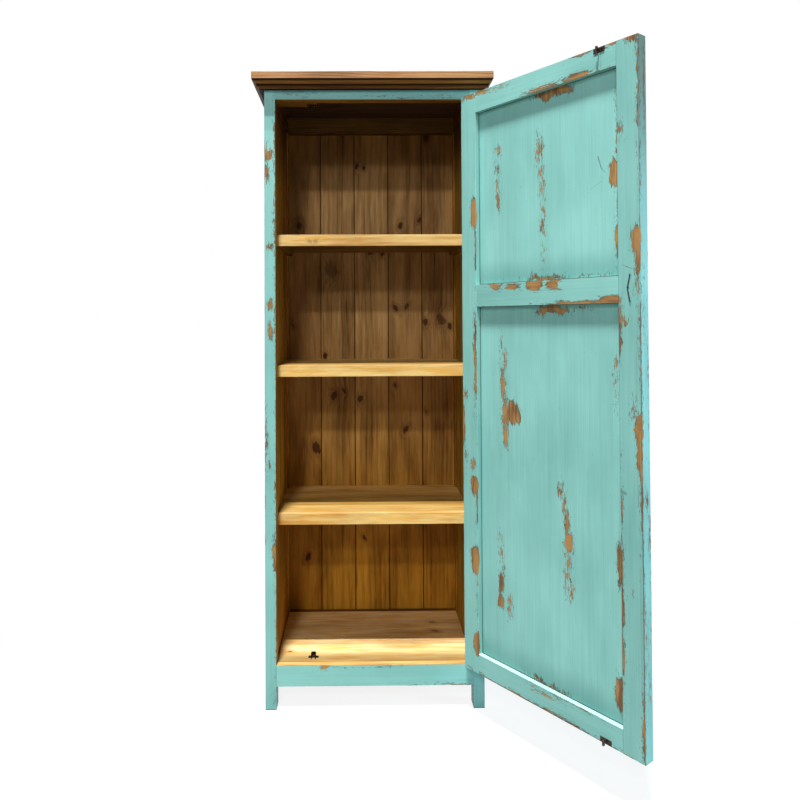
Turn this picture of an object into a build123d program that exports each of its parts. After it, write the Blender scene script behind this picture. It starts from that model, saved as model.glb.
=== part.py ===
import os
from build123d import *

os.makedirs("parts", exist_ok=True)

# Tall pine cupboard on four legs: a framed carcass with tongue-and-groove sides and back,
# three fixed shelves over a deck, a moulded crown and one frame-and-panel door, in mm.
# The origin is the centre of the front left foot's sole, +X runs to the right, +Y to the back.

# ---- carcass ----
body_width = 630
body_depth = 404
total_height = 1830
post_width = 32
post_depth = 45
leg_height = 66
apron_height = 60
apron_thickness = 20
top_rail_height = 52
top_rail_thickness = 30
tenon_length = 10
tenon_thickness = 10
tenon_shoulder = 8
joint_play = 0.2
arris = 1.5

# ---- tongue-and-groove boards ----
board_thickness = 12
board_inset = 4
panel_groove_depth = 10
tongue_thickness = 4
tongue_length = 5
board_play = 0.3
vee_cut = 1.5
back_lap = 8
back_board_count = 5
side_board_count = 3

# ---- deck, shelves and cleats ----
deck_thickness = 20
shelf_thickness = 20
lip_height = 34
lip_thickness = 18
low_shelf_top = 548
middle_shelf_top = 983
high_shelf_top = 1370
cleat_width = 20
cleat_height = 13.7
shelf_play = 0.3

# ---- crown ----
top_board_thickness = 21
top_overhang = 33
top_board_round = 2.5
moulding_height = 24
moulding_reach = 30
moulding_foot = 14
moulding_foot_rise = 4
cove_width = 5.5
cove_rise = 4.2
cove_sag = 1.3
step_width = 3
step_rise = 2.4
ovolo_rise = 10.4
ovolo_bulge = 1.6

# ---- door ----
door_gap = 3
door_bottom_gap = 6
door_thickness = 31
stile_width = 56
door_top_rail = 56
lock_rail_height = 61
lock_rail_centre = 1182.5
door_bottom_rail = 54
panel_groove_width = 8
panel_recess = 14
panel_play = 0.3
door_tenon_length = 20
door_tenon_shoulder = 11
field_margin = 42
field_base_margin = 6
field_rise = 6
open_angle = 126.2

# ---- hinges ----
hinge_height = 76
hinge_end_distance = 170
leaf_width = 24
leaf_thickness = 1.3
knuckle_radius = 4
knuckle_count = 5
knuckle_gap = 0.3
pin_offset = 4.5
pin_radius = 2
pin_play = 0.05
pin_cap_radius = 3
pin_cap_height = 2
hinge_screw_length = 16
hinge_screw_radius = 1.5
hinge_screw_head_radius = 2.8
hinge_screw_inset = 12
countersink_angle = 45
slot_width = 0.8
slot_depth = 0.5
screw_play = 0.1

# ---- catches ----
catch_edge_distance = 100
catch_plate_length = 30
catch_plate_width = 11
catch_plate_thickness = 1.5
catch_arm_height = 11
catch_arm_thickness = 1.2
catch_throat = 8.8
catch_belly = 15
catch_mouth_setback = 34
catch_length = 25
catch_mouth_length = 4
catch_shoulder_length = 8
catch_corner = 4
catch_bend = 1.5
catch_plate_shift = 3.5
catch_screw_spacing = 22
catch_screw_radius = 1.4
catch_screw_head_radius = 2.6
catch_screw_head_height = 1.4
catch_screw_length = 9
catch_screw_end_play = 0.5
block_length = 118
block_depth = 36
block_height = 33
strike_plate_height = 12
strike_plate_thickness = 1.6
strike_edge_distance = 1
strike_screw_head_height = 1
strike_neck_radius = 2
strike_neck_length = 7
strike_head_width = 5.6
strike_head_height = 15
strike_head_thickness = 3.4

# ---- ring pull ----
pull_edge_distance = 32
pull_height = 1184.6
rosette_radius = 18
rosette_rim = 1
rosette_rim_round = 0.4
rosette_rise = 2.4
rosette_top_radius = 9
cotter_radius = 1.2
cotter_leg_spacing = 2.8
cotter_leg_reach = 32
cotter_leg_lean = 7
cotter_bore_play = 0.3
cotter_bend = 1.6
cotter_seat_play = 0.1
eye_clearance = 0.8
eye_shoulder = 3
eye_height = 10.4
eye_depth = 11
ring_radius = 22
ring_wire_radius = 2.5
ring_play = 0.3
ring_shift = 1

# ---- nails ----
nail_radius = 1.1
nail_head_radius = 2.4
nail_head_height = 1.2
nail_length = 26
nail_spread = 30
top_nail_spacing = 240
side_nail_spread = 60

# ---- places worked out from the sizes above ----
left = -post_width / 2
right = left + body_width
front = -post_depth / 2
back = front + body_depth
inner_left = left + post_width
inner_right = right - post_width
deck_top = leg_height + apron_height
carcass_top = total_height - top_board_thickness
top_rail_bottom = carcass_top - top_rail_height
middle_x = (left + right) / 2
middle_y = (front + back) / 2
middle = Plane.YZ.offset(middle_x)
shelf_tops = (low_shelf_top, middle_shelf_top, high_shelf_top)
back_rail_face = back - board_thickness

# Rails tenoned between the posts: bottom, height, thickness, of the front and the back pair.
rail_rows = ((leg_height, apron_height, apron_thickness),
             (top_rail_bottom, top_rail_height, top_rail_thickness))

# ---- front and rear posts ----
# One square leg runs from the floor to the top board at each corner. It is mortised for the
# cross rails and the side rails, and ploughed for the side boards.
side_tenon_x = left + post_width / 2
groove_centre = inner_left - board_inset - board_thickness / 2
groove_width = board_thickness + 2 * board_play
groove_bottom = deck_top - panel_groove_depth
groove_top = top_rail_bottom + panel_groove_depth
mortise_depth = tenon_length + joint_play
mortise_width = tenon_thickness + 2 * joint_play
rear_front = back - post_depth

with BuildPart() as front_post_left:
    with BuildSketch(Plane.XY):
        with Locations((left, front)):
            Rectangle(post_width, post_depth, align=(Align.MIN, Align.MIN))
    extrude(amount=carcass_top)
    fillet(front_post_left.edges().filter_by(Axis.Z), radius=arris)
    # plough for the side boards, in the rear face
    with BuildSketch(Plane.XY.offset(groove_bottom)):
        with Locations((groove_centre, front + post_depth)):
            Rectangle(groove_width, panel_groove_depth, align=(Align.CENTER, Align.MAX))
    extrude(amount=groove_top - groove_bottom, mode=Mode.SUBTRACT)
    for bottom, height, thickness in rail_rows:
        # mortise for the cross rail's tenon, then the one for the side rail's
        with BuildSketch(Plane.XY.offset(bottom + tenon_shoulder - joint_play)):
            with Locations((inner_left, front + thickness / 2)):
                Rectangle(mortise_depth, mortise_width, align=(Align.MAX, Align.CENTER))
        extrude(amount=height - 2 * tenon_shoulder + 2 * joint_play, mode=Mode.SUBTRACT)
        with BuildSketch(Plane.XY.offset(bottom + tenon_shoulder - joint_play)):
            with Locations((side_tenon_x, front + post_depth)):
                Rectangle(mortise_width, mortise_depth, align=(Align.CENTER, Align.MAX))
        extrude(amount=height - 2 * tenon_shoulder + 2 * joint_play, mode=Mode.SUBTRACT)

with BuildPart() as rear_post_left:
    with BuildSketch(Plane.XY):
        with Locations((left, rear_front)):
            Rectangle(post_width, post_depth, align=(Align.MIN, Align.MIN))
    extrude(amount=carcass_top)
    fillet(rear_post_left.edges().filter_by(Axis.Z), radius=arris)
    # plough for the side boards, in the front face
    with BuildSketch(Plane.XY.offset(groove_bottom)):
        with Locations((groove_centre, rear_front)):
            Rectangle(groove_width, panel_groove_depth, align=(Align.CENTER, Align.MIN))
    extrude(amount=groove_top - groove_bottom, mode=Mode.SUBTRACT)
    # rebate that the back boards lap into
    with BuildSketch(Plane.XY.offset(leg_height)):
        with Locations((inner_left, back)):
            Rectangle(back_lap, board_thickness, align=(Align.MAX, Align.MAX))
    extrude(amount=carcass_top - leg_height, mode=Mode.SUBTRACT)
    for bottom, height, thickness in rail_rows:
        with BuildSketch(Plane.XY.offset(bottom + tenon_shoulder - joint_play)):
            with Locations((inner_left, back_rail_face - thickness / 2)):
                Rectangle(mortise_depth, mortise_width, align=(Align.MAX, Align.CENTER))
        extrude(amount=height - 2 * tenon_shoulder + 2 * joint_play, mode=Mode.SUBTRACT)
        with BuildSketch(Plane.XY.offset(bottom + tenon_shoulder - joint_play)):
            with Locations((side_tenon_x, rear_front)):
                Rectangle(mortise_width, mortise_depth, align=(Align.CENTER, Align.MIN))
        extrude(amount=height - 2 * tenon_shoulder + 2 * joint_play, mode=Mode.SUBTRACT)

rear_post_left.part.label = "rear_post_left"
export_step(rear_post_left.part, "parts/rear_post_left.step")

with BuildPart() as rear_post_right:
    mirror(rear_post_left.part, about=middle)
rear_post_right.part.label = "rear_post_right"
export_step(rear_post_right.part, "parts/rear_post_right.step")

# ---- cross rails: aprons and top rails between the posts ----
back_span = inner_right - inner_left + 2 * back_lap
nail_xs = [inner_left - back_lap + back_span * (k + 0.5) / back_board_count for k in range(back_board_count)]
nail_zs = (leg_height + apron_height / 2, top_rail_bottom + top_rail_height / 2)
nail_depth = nail_length + joint_play
front_nails = [(middle_x + k * top_nail_spacing, front + top_rail_thickness / 2) for k in (-1, 0, 1)]
rear_nails = [(x, back_rail_face - top_rail_thickness / 2) for x, y in front_nails]
side_nails = [(side_tenon_x, middle_y + s * side_nail_spread) for s in (-1, 1)]
top_nail_spots = front_nails + rear_nails + side_nails + [(left + right - x, y) for x, y in side_nails]


def cross_rail(low_y, bottom, height, thickness):
    """A rail with a stub tenon on each end, its front face at low_y."""
    with BuildPart() as rail:
        with BuildSketch(Plane.XY.offset(bottom)):
            with Locations((inner_left, low_y)):
                Rectangle(inner_right - inner_left, thickness, align=(Align.MIN, Align.MIN))
        extrude(amount=height)
        with BuildSketch(Plane.XY.offset(bottom + tenon_shoulder)):
            with Locations((inner_left - tenon_length, low_y + thickness / 2)):
                Rectangle(inner_right - inner_left + 2 * tenon_length, tenon_thickness,
                          align=(Align.MIN, Align.CENTER))
        extrude(amount=height - 2 * tenon_shoulder)
    return rail.part


with BuildPart() as apron_front:
    add(cross_rail(front, leg_height, apron_height, apron_thickness))
apron_front.part.label = "apron_front"
export_step(apron_front.part, "parts/apron_front.step")

with BuildPart() as apron_back:
    add(cross_rail(back_rail_face - apron_thickness, leg_height, apron_height, apron_thickness))
    with BuildSketch(Plane.XZ.offset(-back_rail_face)):
        with Locations(*[(x + s * nail_spread, nail_zs[0]) for x in nail_xs for s in (-1, 1)]):
            Circle(nail_radius)
    extrude(amount=nail_depth - board_thickness, mode=Mode.SUBTRACT)
apron_back.part.label = "apron_back"
export_step(apron_back.part, "parts/apron_back.step")

with BuildPart() as top_rail_front:
    add(cross_rail(front, top_rail_bottom, top_rail_height, top_rail_thickness))
    with BuildSketch(Plane.XY.offset(carcass_top)):
        with Locations(*front_nails):
            Circle(nail_radius)
    extrude(amount=-nail_depth, mode=Mode.SUBTRACT)
top_rail_front.part.label = "top_rail_front"
export_step(top_rail_front.part, "parts/top_rail_front.step")

with BuildPart() as top_rail_back:
    top_rail_face = back_rail_face - top_rail_thickness
    add(cross_rail(top_rail_face, top_rail_bottom, top_rail_height, top_rail_thickness))
    with BuildSketch(Plane.XZ.offset(-back_rail_face)):
        with Locations(*[(x + s * nail_spread, nail_zs[1]) for x in nail_xs for s in (-1, 1)]):
            Circle(nail_radius)
    extrude(amount=nail_depth - board_thickness, mode=Mode.SUBTRACT)
    with BuildSketch(Plane.XY.offset(carcass_top)):
        with Locations(*rear_nails):
            Circle(nail_radius)
    extrude(amount=-nail_depth, mode=Mode.SUBTRACT)
top_rail_back.part.label = "top_rail_back"
export_step(top_rail_back.part, "parts/top_rail_back.step")

# ---- side rails ----
# They stand flush with the posts, and their facing edges are ploughed for the boards.


def side_rail(bottom, height, plough):
    """A left-hand side rail with a stub tenon on each end and a plough starting at plough."""
    span = rear_front - front - post_depth
    with BuildPart() as rail:
        with BuildSketch(Plane.XY.offset(bottom)):
            with Locations((left, front + post_depth)):
                Rectangle(post_width, span, align=(Align.MIN, Align.MIN))
        extrude(amount=height)
        with BuildSketch(Plane.XY.offset(bottom + tenon_shoulder)):
            with Locations((side_tenon_x, middle_y)):
                Rectangle(tenon_thickness, span + 2 * tenon_length)
        extrude(amount=height - 2 * tenon_shoulder)
        with BuildSketch(Plane.XY.offset(plough)):
            with Locations((groove_centre, middle_y)):
                Rectangle(groove_width, span + 2 * tenon_length)
        extrude(amount=panel_groove_depth, mode=Mode.SUBTRACT)
    return rail.part


with BuildPart() as side_apron_left:
    add(side_rail(leg_height, apron_height, groove_bottom))
side_apron_left.part.label = "side_apron_left"
export_step(side_apron_left.part, "parts/side_apron_left.step")

with BuildPart() as side_apron_right:
    mirror(side_apron_left.part, about=middle)
side_apron_right.part.label = "side_apron_right"
export_step(side_apron_right.part, "parts/side_apron_right.step")

with BuildPart() as side_top_rail_left:
    add(side_rail(top_rail_bottom, top_rail_height, top_rail_bottom))
    with BuildSketch(Plane.XY.offset(carcass_top)):
        with Locations(*side_nails):
            Circle(nail_radius)
    extrude(amount=-nail_depth, mode=Mode.SUBTRACT)
side_top_rail_left.part.label = "side_top_rail_left"
export_step(side_top_rail_left.part, "parts/side_top_rail_left.step")

with BuildPart() as side_top_rail_right:
    mirror(side_top_rail_left.part, about=middle)
side_top_rail_right.part.label = "side_top_rail_right"
export_step(side_top_rail_right.part, "parts/side_top_rail_right.step")


# ---- side boards and back boards ----
def board_section(cover, has_groove, has_tongue):
    """Section of one board: inner face on Y = 0, cover width along X, a vee on each inner arris."""
    with BuildSketch() as section:
        Rectangle(cover - board_play, board_thickness, align=(Align.MIN, Align.MIN))
        chamfer(section.vertices().group_by(Axis.Y)[0], length=vee_cut)
        if has_tongue:
            with Locations((cover - board_play, board_thickness / 2)):
                Rectangle(tongue_length, tongue_thickness, align=(Align.MIN, Align.CENTER))
        if has_groove:
            with Locations((0, board_thickness / 2)):
                Rectangle(tongue_length + board_play, tongue_thickness + 2 * board_play,
                          align=(Align.MIN, Align.CENTER), mode=Mode.SUBTRACT)
    return section.sketch


side_start = front + post_depth - panel_groove_depth + board_play
side_end = rear_front + panel_groove_depth - board_play
side_cover = (side_end - side_start) / side_board_count
side_board_bottom = groove_bottom + board_play
side_board_top = groove_top - board_play
for k in range(side_board_count):
    corner = (inner_left - board_inset, side_start + k * side_cover, side_board_bottom)
    with BuildPart() as side_board_left:
        with BuildSketch(Plane(origin=corner, x_dir=(0, 1, 0), z_dir=(0, 0, 1))):
            add(board_section(side_cover, k > 0, k < side_board_count - 1))
        extrude(amount=side_board_top - side_board_bottom)
    side_board_left.part.label = f"side_board_left_{k + 1}"
    export_step(side_board_left.part, f"parts/side_board_left_{k + 1}.step")
    with BuildPart() as side_board_right:
        mirror(side_board_left.part, about=middle)
    side_board_right.part.label = f"side_board_right_{k + 1}"
    export_step(side_board_right.part, f"parts/side_board_right_{k + 1}.step")

back_start = inner_left - back_lap + board_play
back_cover = (inner_right + back_lap - board_play - back_start) / back_board_count
for k in range(back_board_count):
    corner = (back_start + k * back_cover, back_rail_face, leg_height)
    with BuildPart() as back_board:
        with BuildSketch(Plane(origin=corner, x_dir=(1, 0, 0), z_dir=(0, 0, 1))):
            add(board_section(back_cover, k > 0, k < back_board_count - 1))
        extrude(amount=carcass_top - leg_height)
        with BuildSketch(Plane.XZ.offset(-back)):
            with Locations(*[(nail_xs[k] + s * nail_spread, z) for s in (-1, 1) for z in nail_zs]):
                Circle(nail_radius)
        extrude(amount=board_thickness, mode=Mode.SUBTRACT)
        with BuildSketch(Plane.XZ.offset(-back)):
            with Locations(*[(nail_xs[k] + s * nail_spread, z) for s in (-1, 1) for z in nail_zs]):
                Circle(nail_head_radius)
        extrude(amount=nail_head_height, mode=Mode.SUBTRACT)
    back_board.part.label = f"back_board_{k + 1}"
    export_step(back_board.part, f"parts/back_board_{k + 1}.step")

# Lost-head nails through the back boards into the apron and the top rail.
with BuildPart() as back_nails:
    nail_spots = [(x + s * nail_spread, z) for x in nail_xs for s in (-1, 1) for z in nail_zs]
    with BuildSketch(Plane.XZ.offset(-back)):
        with Locations(*nail_spots):
            Circle(nail_radius - screw_play)
    extrude(amount=nail_length)
    with BuildSketch(Plane.XZ.offset(-back)):
        with Locations(*nail_spots):
            Circle(nail_head_radius - screw_play)
    extrude(amount=nail_head_height)
back_nails.part.label = "back_nails"
export_step(back_nails.part, "parts/back_nails.step")

# ---- the door's place ----
# Drawn shut it would stand between the front posts; it is swung open about the hinge pins.
# Its own axes run along it from the hinge edge, out of its outer face, and up.
pin_x = inner_right - door_gap / 2
pin_y = front - pin_offset
closed_plane = Plane(origin=(inner_right - door_gap, front, 0), x_dir=(-1, 0, 0), z_dir=(0, 0, 1))
swing = Location((pin_x, pin_y, 0), (0, 0, open_angle)) * Location((-pin_x, -pin_y, 0))
door_plane = Plane(swing * closed_plane.location)
door_width = inner_right - inner_left - 2 * door_gap
door_bottom = deck_top + door_bottom_gap
door_top = top_rail_bottom - door_gap
catch_distance = door_width - catch_edge_distance
pull_distance = door_width - pull_edge_distance
catch_x = inner_right - door_gap - catch_distance


def door_side(u, v, z, x_way, face_way):
    """A plane at a point of the door, with its X and its normal given in the door's own axes."""
    origin = door_plane.from_local_coords(Vector(u, v, z))
    across = door_plane.x_dir * x_way[0] + door_plane.y_dir * x_way[1]
    facing = door_plane.x_dir * face_way[0] + door_plane.y_dir * face_way[1]
    return Plane(origin=origin, x_dir=across, z_dir=facing)


# ---- deck ----
# One glued-up board between the aprons and the side aprons, carried by a cleat on each side,
# with two pilot holes for the lower catch.
catch_y = front + catch_mouth_setback + catch_length / 2 + catch_plate_shift
catch_screw_spots = [(catch_x + s * catch_screw_spacing / 2, catch_y) for s in (-1, 1)]

with BuildPart() as deck:
    with BuildSketch(Plane.XY.offset(deck_top - deck_thickness)):
        with Locations((inner_left + shelf_play, front + apron_thickness)):
            Rectangle(inner_right - inner_left - 2 * shelf_play,
                      back_rail_face - front - 2 * apron_thickness, align=(Align.MIN, Align.MIN))
    extrude(amount=deck_thickness)
    with BuildSketch(Plane.XY.offset(deck_top)):
        with Locations(*catch_screw_spots):
            Circle(catch_screw_radius)
    extrude(amount=-catch_screw_length, mode=Mode.SUBTRACT)
deck.part.label = "deck"
export_step(deck.part, "parts/deck.step")

with BuildPart() as deck_cleats:
    with BuildSketch(Plane.XY.offset(deck_top - deck_thickness)):
        with Locations((inner_left, middle_y)):
            Rectangle(cleat_width, rear_front - front - post_depth, align=(Align.MIN, Align.CENTER))
        with Locations((inner_right, middle_y)):
            Rectangle(cleat_width, rear_front - front - post_depth, align=(Align.MAX, Align.CENTER))
    extrude(amount=-cleat_height)
deck_cleats.part.label = "deck_cleats"
export_step(deck_cleats.part, "parts/deck_cleats.step")

# ---- shelves ----
# Each shelf is a board glued behind a deeper front lip, notched round the rear posts, and it
# rests on a cleat along each side wall.
wall_left = inner_left - board_inset
wall_right = inner_right + board_inset
shelf_length = wall_right - wall_left - 2 * shelf_play
shelf_front = front + post_depth + shelf_play
for name, top in zip(("low", "middle", "high"), shelf_tops):
    with BuildPart() as shelf:
        with BuildSketch(Plane.XY.offset(top - shelf_thickness)):
            with Locations((wall_left + shelf_play, shelf_front + lip_thickness)):
                Rectangle(shelf_length, back_rail_face - shelf_front - lip_thickness,
                          align=(Align.MIN, Align.MIN))
            with Locations((wall_left, back), (wall_right, back)):
                Rectangle(2 * (board_inset + shelf_play), 2 * (post_depth + shelf_play), mode=Mode.SUBTRACT)
        extrude(amount=shelf_thickness)
    shelf.part.label = f"{name}_shelf"
    export_step(shelf.part, f"parts/{name}_shelf.step")
    with BuildPart() as shelf_lip:
        with BuildSketch(Plane.XY.offset(top - lip_height)):
            with Locations((wall_left + shelf_play, shelf_front)):
                Rectangle(shelf_length, lip_thickness, align=(Align.MIN, Align.MIN))
        extrude(amount=lip_height)
        fillet(shelf_lip.edges().filter_by(Axis.X).group_by(Axis.Y)[0], radius=arris)
    shelf_lip.part.label = f"{name}_shelf_lip"
    export_step(shelf_lip.part, f"parts/{name}_shelf_lip.step")

with BuildPart() as shelf_cleats:
    cleat_length = rear_front - shelf_front - lip_thickness
    for top in shelf_tops:
        with BuildSketch(Plane.XY.offset(top - shelf_thickness - cleat_height)):
            with Locations((wall_left, shelf_front + lip_thickness)):
                Rectangle(cleat_width, cleat_length, align=(Align.MIN, Align.MIN))
        extrude(amount=cleat_height)
    mirror(about=middle)
shelf_cleats.part.label = "shelf_cleats"
export_step(shelf_cleats.part, "parts/shelf_cleats.step")

# ---- crown ----
# A rounded top board, nailed down, over a stepped moulding mitred round the front and sides.
with BuildPart() as top_board:
    with BuildSketch(Plane.XY.offset(carcass_top)):
        with Locations((left - top_overhang, front - top_overhang)):
            Rectangle(body_width + 2 * top_overhang, body_depth + top_overhang, align=(Align.MIN, Align.MIN))
    extrude(amount=top_board_thickness)
    fillet(top_board.edges().filter_by(Axis.Z).group_by(Axis.Y)[0], radius=top_board_round)
    fillet(top_board.faces().sort_by(Axis.Z)[-1].edges(), radius=arris)
    with BuildSketch(Plane.XY.offset(total_height)):
        with Locations(*top_nail_spots):
            Circle(nail_radius)
    extrude(amount=-top_board_thickness, mode=Mode.SUBTRACT)
    with BuildSketch(Plane.XY.offset(total_height)):
        with Locations(*top_nail_spots):
            Circle(nail_head_radius)
    extrude(amount=-nail_head_height, mode=Mode.SUBTRACT)
top_board.part.label = "top_board"
export_step(top_board.part, "parts/top_board.step")

with BuildPart() as top_nails:
    with BuildSketch(Plane.XY.offset(total_height)):
        with Locations(*top_nail_spots):
            Circle(nail_radius - screw_play)
    extrude(amount=-(top_board_thickness + nail_length))
    with BuildSketch(Plane.XY.offset(total_height)):
        with Locations(*top_nail_spots):
            Circle(nail_head_radius - screw_play)
    extrude(amount=-nail_head_height)
top_nails.part.label = "top_nails"
export_step(top_nails.part, "parts/top_nails.step")

moulding_bottom = carcass_top - moulding_height
cove_top = moulding_foot_rise + cove_rise
cove_reach = moulding_foot + cove_width
step_top = cove_top + step_rise
step_reach = cove_reach + step_width
ovolo_top = step_top + ovolo_rise


def moulding_section(plane):
    """Stepped crown section: X reaches out from the carcass, Y goes up from the moulding's foot."""
    with BuildSketch(plane) as section:
        with BuildLine():
            Polyline((moulding_reach, ovolo_top), (moulding_reach, moulding_height), (0, moulding_height),
                     (0, 0), (moulding_foot, 0), (moulding_foot, moulding_foot_rise))
            SagittaArc((moulding_foot, moulding_foot_rise), (cove_reach, cove_top), -cove_sag)
            Polyline((cove_reach, cove_top), (cove_reach, step_top), (step_reach, step_top))
            SagittaArc((step_reach, step_top), (moulding_reach, ovolo_top), ovolo_bulge)
        make_face()
    return section.sketch


with BuildPart() as crown_moulding_front:
    front_end = Plane(origin=(left - moulding_reach, front, moulding_bottom),
                      x_dir=(0, -1, 0), z_dir=(-1, 0, 0))
    extrude(moulding_section(front_end), amount=-(body_width + 2 * moulding_reach))
    split(bisect_by=Plane(origin=(left, front, 0), z_dir=(1, -1, 0)), keep=Keep.TOP)
    split(bisect_by=Plane(origin=(right, front, 0), z_dir=(-1, -1, 0)), keep=Keep.TOP)
crown_moulding_front.part.label = "crown_moulding_front"
export_step(crown_moulding_front.part, "parts/crown_moulding_front.step")

with BuildPart() as crown_moulding_left:
    rear_end = Plane(origin=(left, back, moulding_bottom), x_dir=(-1, 0, 0), z_dir=(0, 1, 0))
    extrude(moulding_section(rear_end), amount=-(body_depth + moulding_reach))
    split(bisect_by=Plane(origin=(left, front, 0), z_dir=(-1, 1, 0)), keep=Keep.TOP)
crown_moulding_left.part.label = "crown_moulding_left"
export_step(crown_moulding_left.part, "parts/crown_moulding_left.step")

with BuildPart() as crown_moulding_right:
    mirror(crown_moulding_left.part, about=middle)
crown_moulding_right.part.label = "crown_moulding_right"
export_step(crown_moulding_right.part, "parts/crown_moulding_right.step")

# ---- hinges ----
# Three butt hinges: one leaf on the post's inner face, one on the door's edge, and a capped pin.
hinge_reach = hinge_end_distance + hinge_height / 2
hinge_zs = (door_bottom + hinge_reach, (door_bottom + door_top) / 2, door_top - hinge_reach)
knuckle_height = (hinge_height - (knuckle_count - 1) * knuckle_gap) / knuckle_count
knuckle_step = knuckle_height + knuckle_gap
hinge_screw_zs = [z + k * hinge_height / 3 for z in hinge_zs for k in (-1, 0, 1)]


def hinge_leaf(across, leaf_side, plate_plane, centre_z, knuckles):
    """A leaf of one hinge, drawn in the axes of the plane across, on the given side of the pin."""
    with BuildPart() as leaf:
        with BuildSketch(across.offset(centre_z - hinge_height / 2)):
            with Locations((leaf_side, 0)):
                Rectangle(leaf_thickness, leaf_width, align=(Align.MIN, Align.MAX))
        extrude(amount=hinge_height)
        for k in knuckles:
            bottom = centre_z - hinge_height / 2 + k * knuckle_step
            with BuildSketch(across.offset(bottom)):
                with Locations((leaf_side, 0)):
                    Rectangle(leaf_thickness, pin_offset, align=(Align.MIN, Align.MIN))
                with Locations((-door_gap / 2, pin_offset)):
                    Circle(knuckle_radius)
            extrude(amount=knuckle_height)
        with BuildSketch(across.offset(centre_z - hinge_height / 2)):
            with Locations((-door_gap / 2, pin_offset)):
                Circle(pin_radius + pin_play)
        extrude(amount=hinge_height, mode=Mode.SUBTRACT)
        with BuildSketch(plate_plane):
            with Locations(*[(0, centre_z + k * hinge_height / 3) for k in (-1, 0, 1)]):
                Circle(hinge_screw_head_radius)
        extrude(amount=-leaf_thickness, taper=countersink_angle, mode=Mode.SUBTRACT)
    return leaf.part


def hinge_screws(plate_plane):
    """Countersunk screws for one leaf of each hinge, entering along the plane's normal reversed."""
    with BuildPart() as screws:
        with BuildSketch(plate_plane):
            with Locations(*[(0, z) for z in hinge_screw_zs]):
                Circle(hinge_screw_radius - screw_play)
        extrude(amount=-hinge_screw_length)
        with BuildSketch(plate_plane):
            with Locations(*[(0, z) for z in hinge_screw_zs]):
                Circle(hinge_screw_head_radius - screw_play)
        extrude(amount=-leaf_thickness, taper=countersink_angle)
        with BuildSketch(plate_plane):
            with Locations(*[(0, z) for z in hinge_screw_zs]):
                Rectangle(2 * hinge_screw_head_radius, slot_width)
        extrude(amount=-slot_depth, mode=Mode.SUBTRACT)
    return screws.part


# Outer faces of the leaves, with the origin on the line of the screws and Y going up.
post_leaf_face = Plane(origin=(inner_right - leaf_thickness, front + hinge_screw_inset, 0),
                       x_dir=(0, -1, 0), z_dir=(-1, 0, 0))
door_leaf_face = door_side(-leaf_thickness, -hinge_screw_inset, 0, (0, -1), (-1, 0))

with BuildPart() as hinge_leaves_post:
    for centre_z in hinge_zs:
        add(hinge_leaf(closed_plane, -door_gap, post_leaf_face, centre_z, (0, 2, 4)))
hinge_leaves_post.part.label = "hinge_leaves_post"
export_step(hinge_leaves_post.part, "parts/hinge_leaves_post.step")

with BuildPart() as hinge_leaves_door:
    for centre_z in hinge_zs:
        add(hinge_leaf(door_plane, -leaf_thickness, door_leaf_face, centre_z, (1, 3)))
hinge_leaves_door.part.label = "hinge_leaves_door"
export_step(hinge_leaves_door.part, "parts/hinge_leaves_door.step")

with BuildPart() as hinge_pins:
    for centre_z in hinge_zs:
        with BuildSketch(Plane.XY.offset(centre_z - hinge_height / 2)):
            with Locations((pin_x, pin_y)):
                Circle(pin_radius)
        extrude(amount=hinge_height)
        for cap_z, way in ((centre_z - hinge_height / 2, -1), (centre_z + hinge_height / 2, 1)):
            with BuildSketch(Plane.XY.offset(cap_z)):
                with Locations((pin_x, pin_y)):
                    Circle(pin_cap_radius)
            extrude(amount=way * pin_cap_height)
hinge_pins.part.label = "hinge_pins"
export_step(hinge_pins.part, "parts/hinge_pins.step")

with BuildPart() as hinge_screws_post:
    add(hinge_screws(post_leaf_face))
hinge_screws_post.part.label = "hinge_screws_post"
export_step(hinge_screws_post.part, "parts/hinge_screws_post.step")

with BuildPart() as hinge_screws_door:
    add(hinge_screws(door_leaf_face))
hinge_screws_door.part.label = "hinge_screws_door"
export_step(hinge_screws_door.part, "parts/hinge_screws_door.step")

# The right front post: the left one mirrored, with pilot holes for the hinge screws.
front_post_left.part.label = "front_post_left"
export_step(front_post_left.part, "parts/front_post_left.step")

with BuildPart() as front_post_right:
    mirror(front_post_left.part, about=middle)
    with BuildSketch(post_leaf_face.offset(-leaf_thickness)):
        with Locations(*[(0, z) for z in hinge_screw_zs]):
            Circle(hinge_screw_radius)
    extrude(amount=-hinge_screw_length, mode=Mode.SUBTRACT)
front_post_right.part.label = "front_post_right"
export_step(front_post_right.part, "parts/front_post_right.step")

# ---- door frame ----
# Two stiles carry three rails on stub tenons; everything is ploughed for the two panels.
lock_rail_bottom = lock_rail_centre - lock_rail_height / 2
lock_rail_top = lock_rail_centre + lock_rail_height / 2
rail_spans = ((door_bottom, door_bottom + door_bottom_rail), (lock_rail_bottom, lock_rail_top),
              (door_top - door_top_rail, door_top))
opening_rows = ((rail_spans[0][1], lock_rail_bottom), (lock_rail_top, rail_spans[2][0]))
door_tenon_thickness = panel_groove_width - 2 * joint_play
groove_v = -door_thickness + panel_recess + panel_groove_width / 2
free_edge = door_width - stile_width


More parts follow.
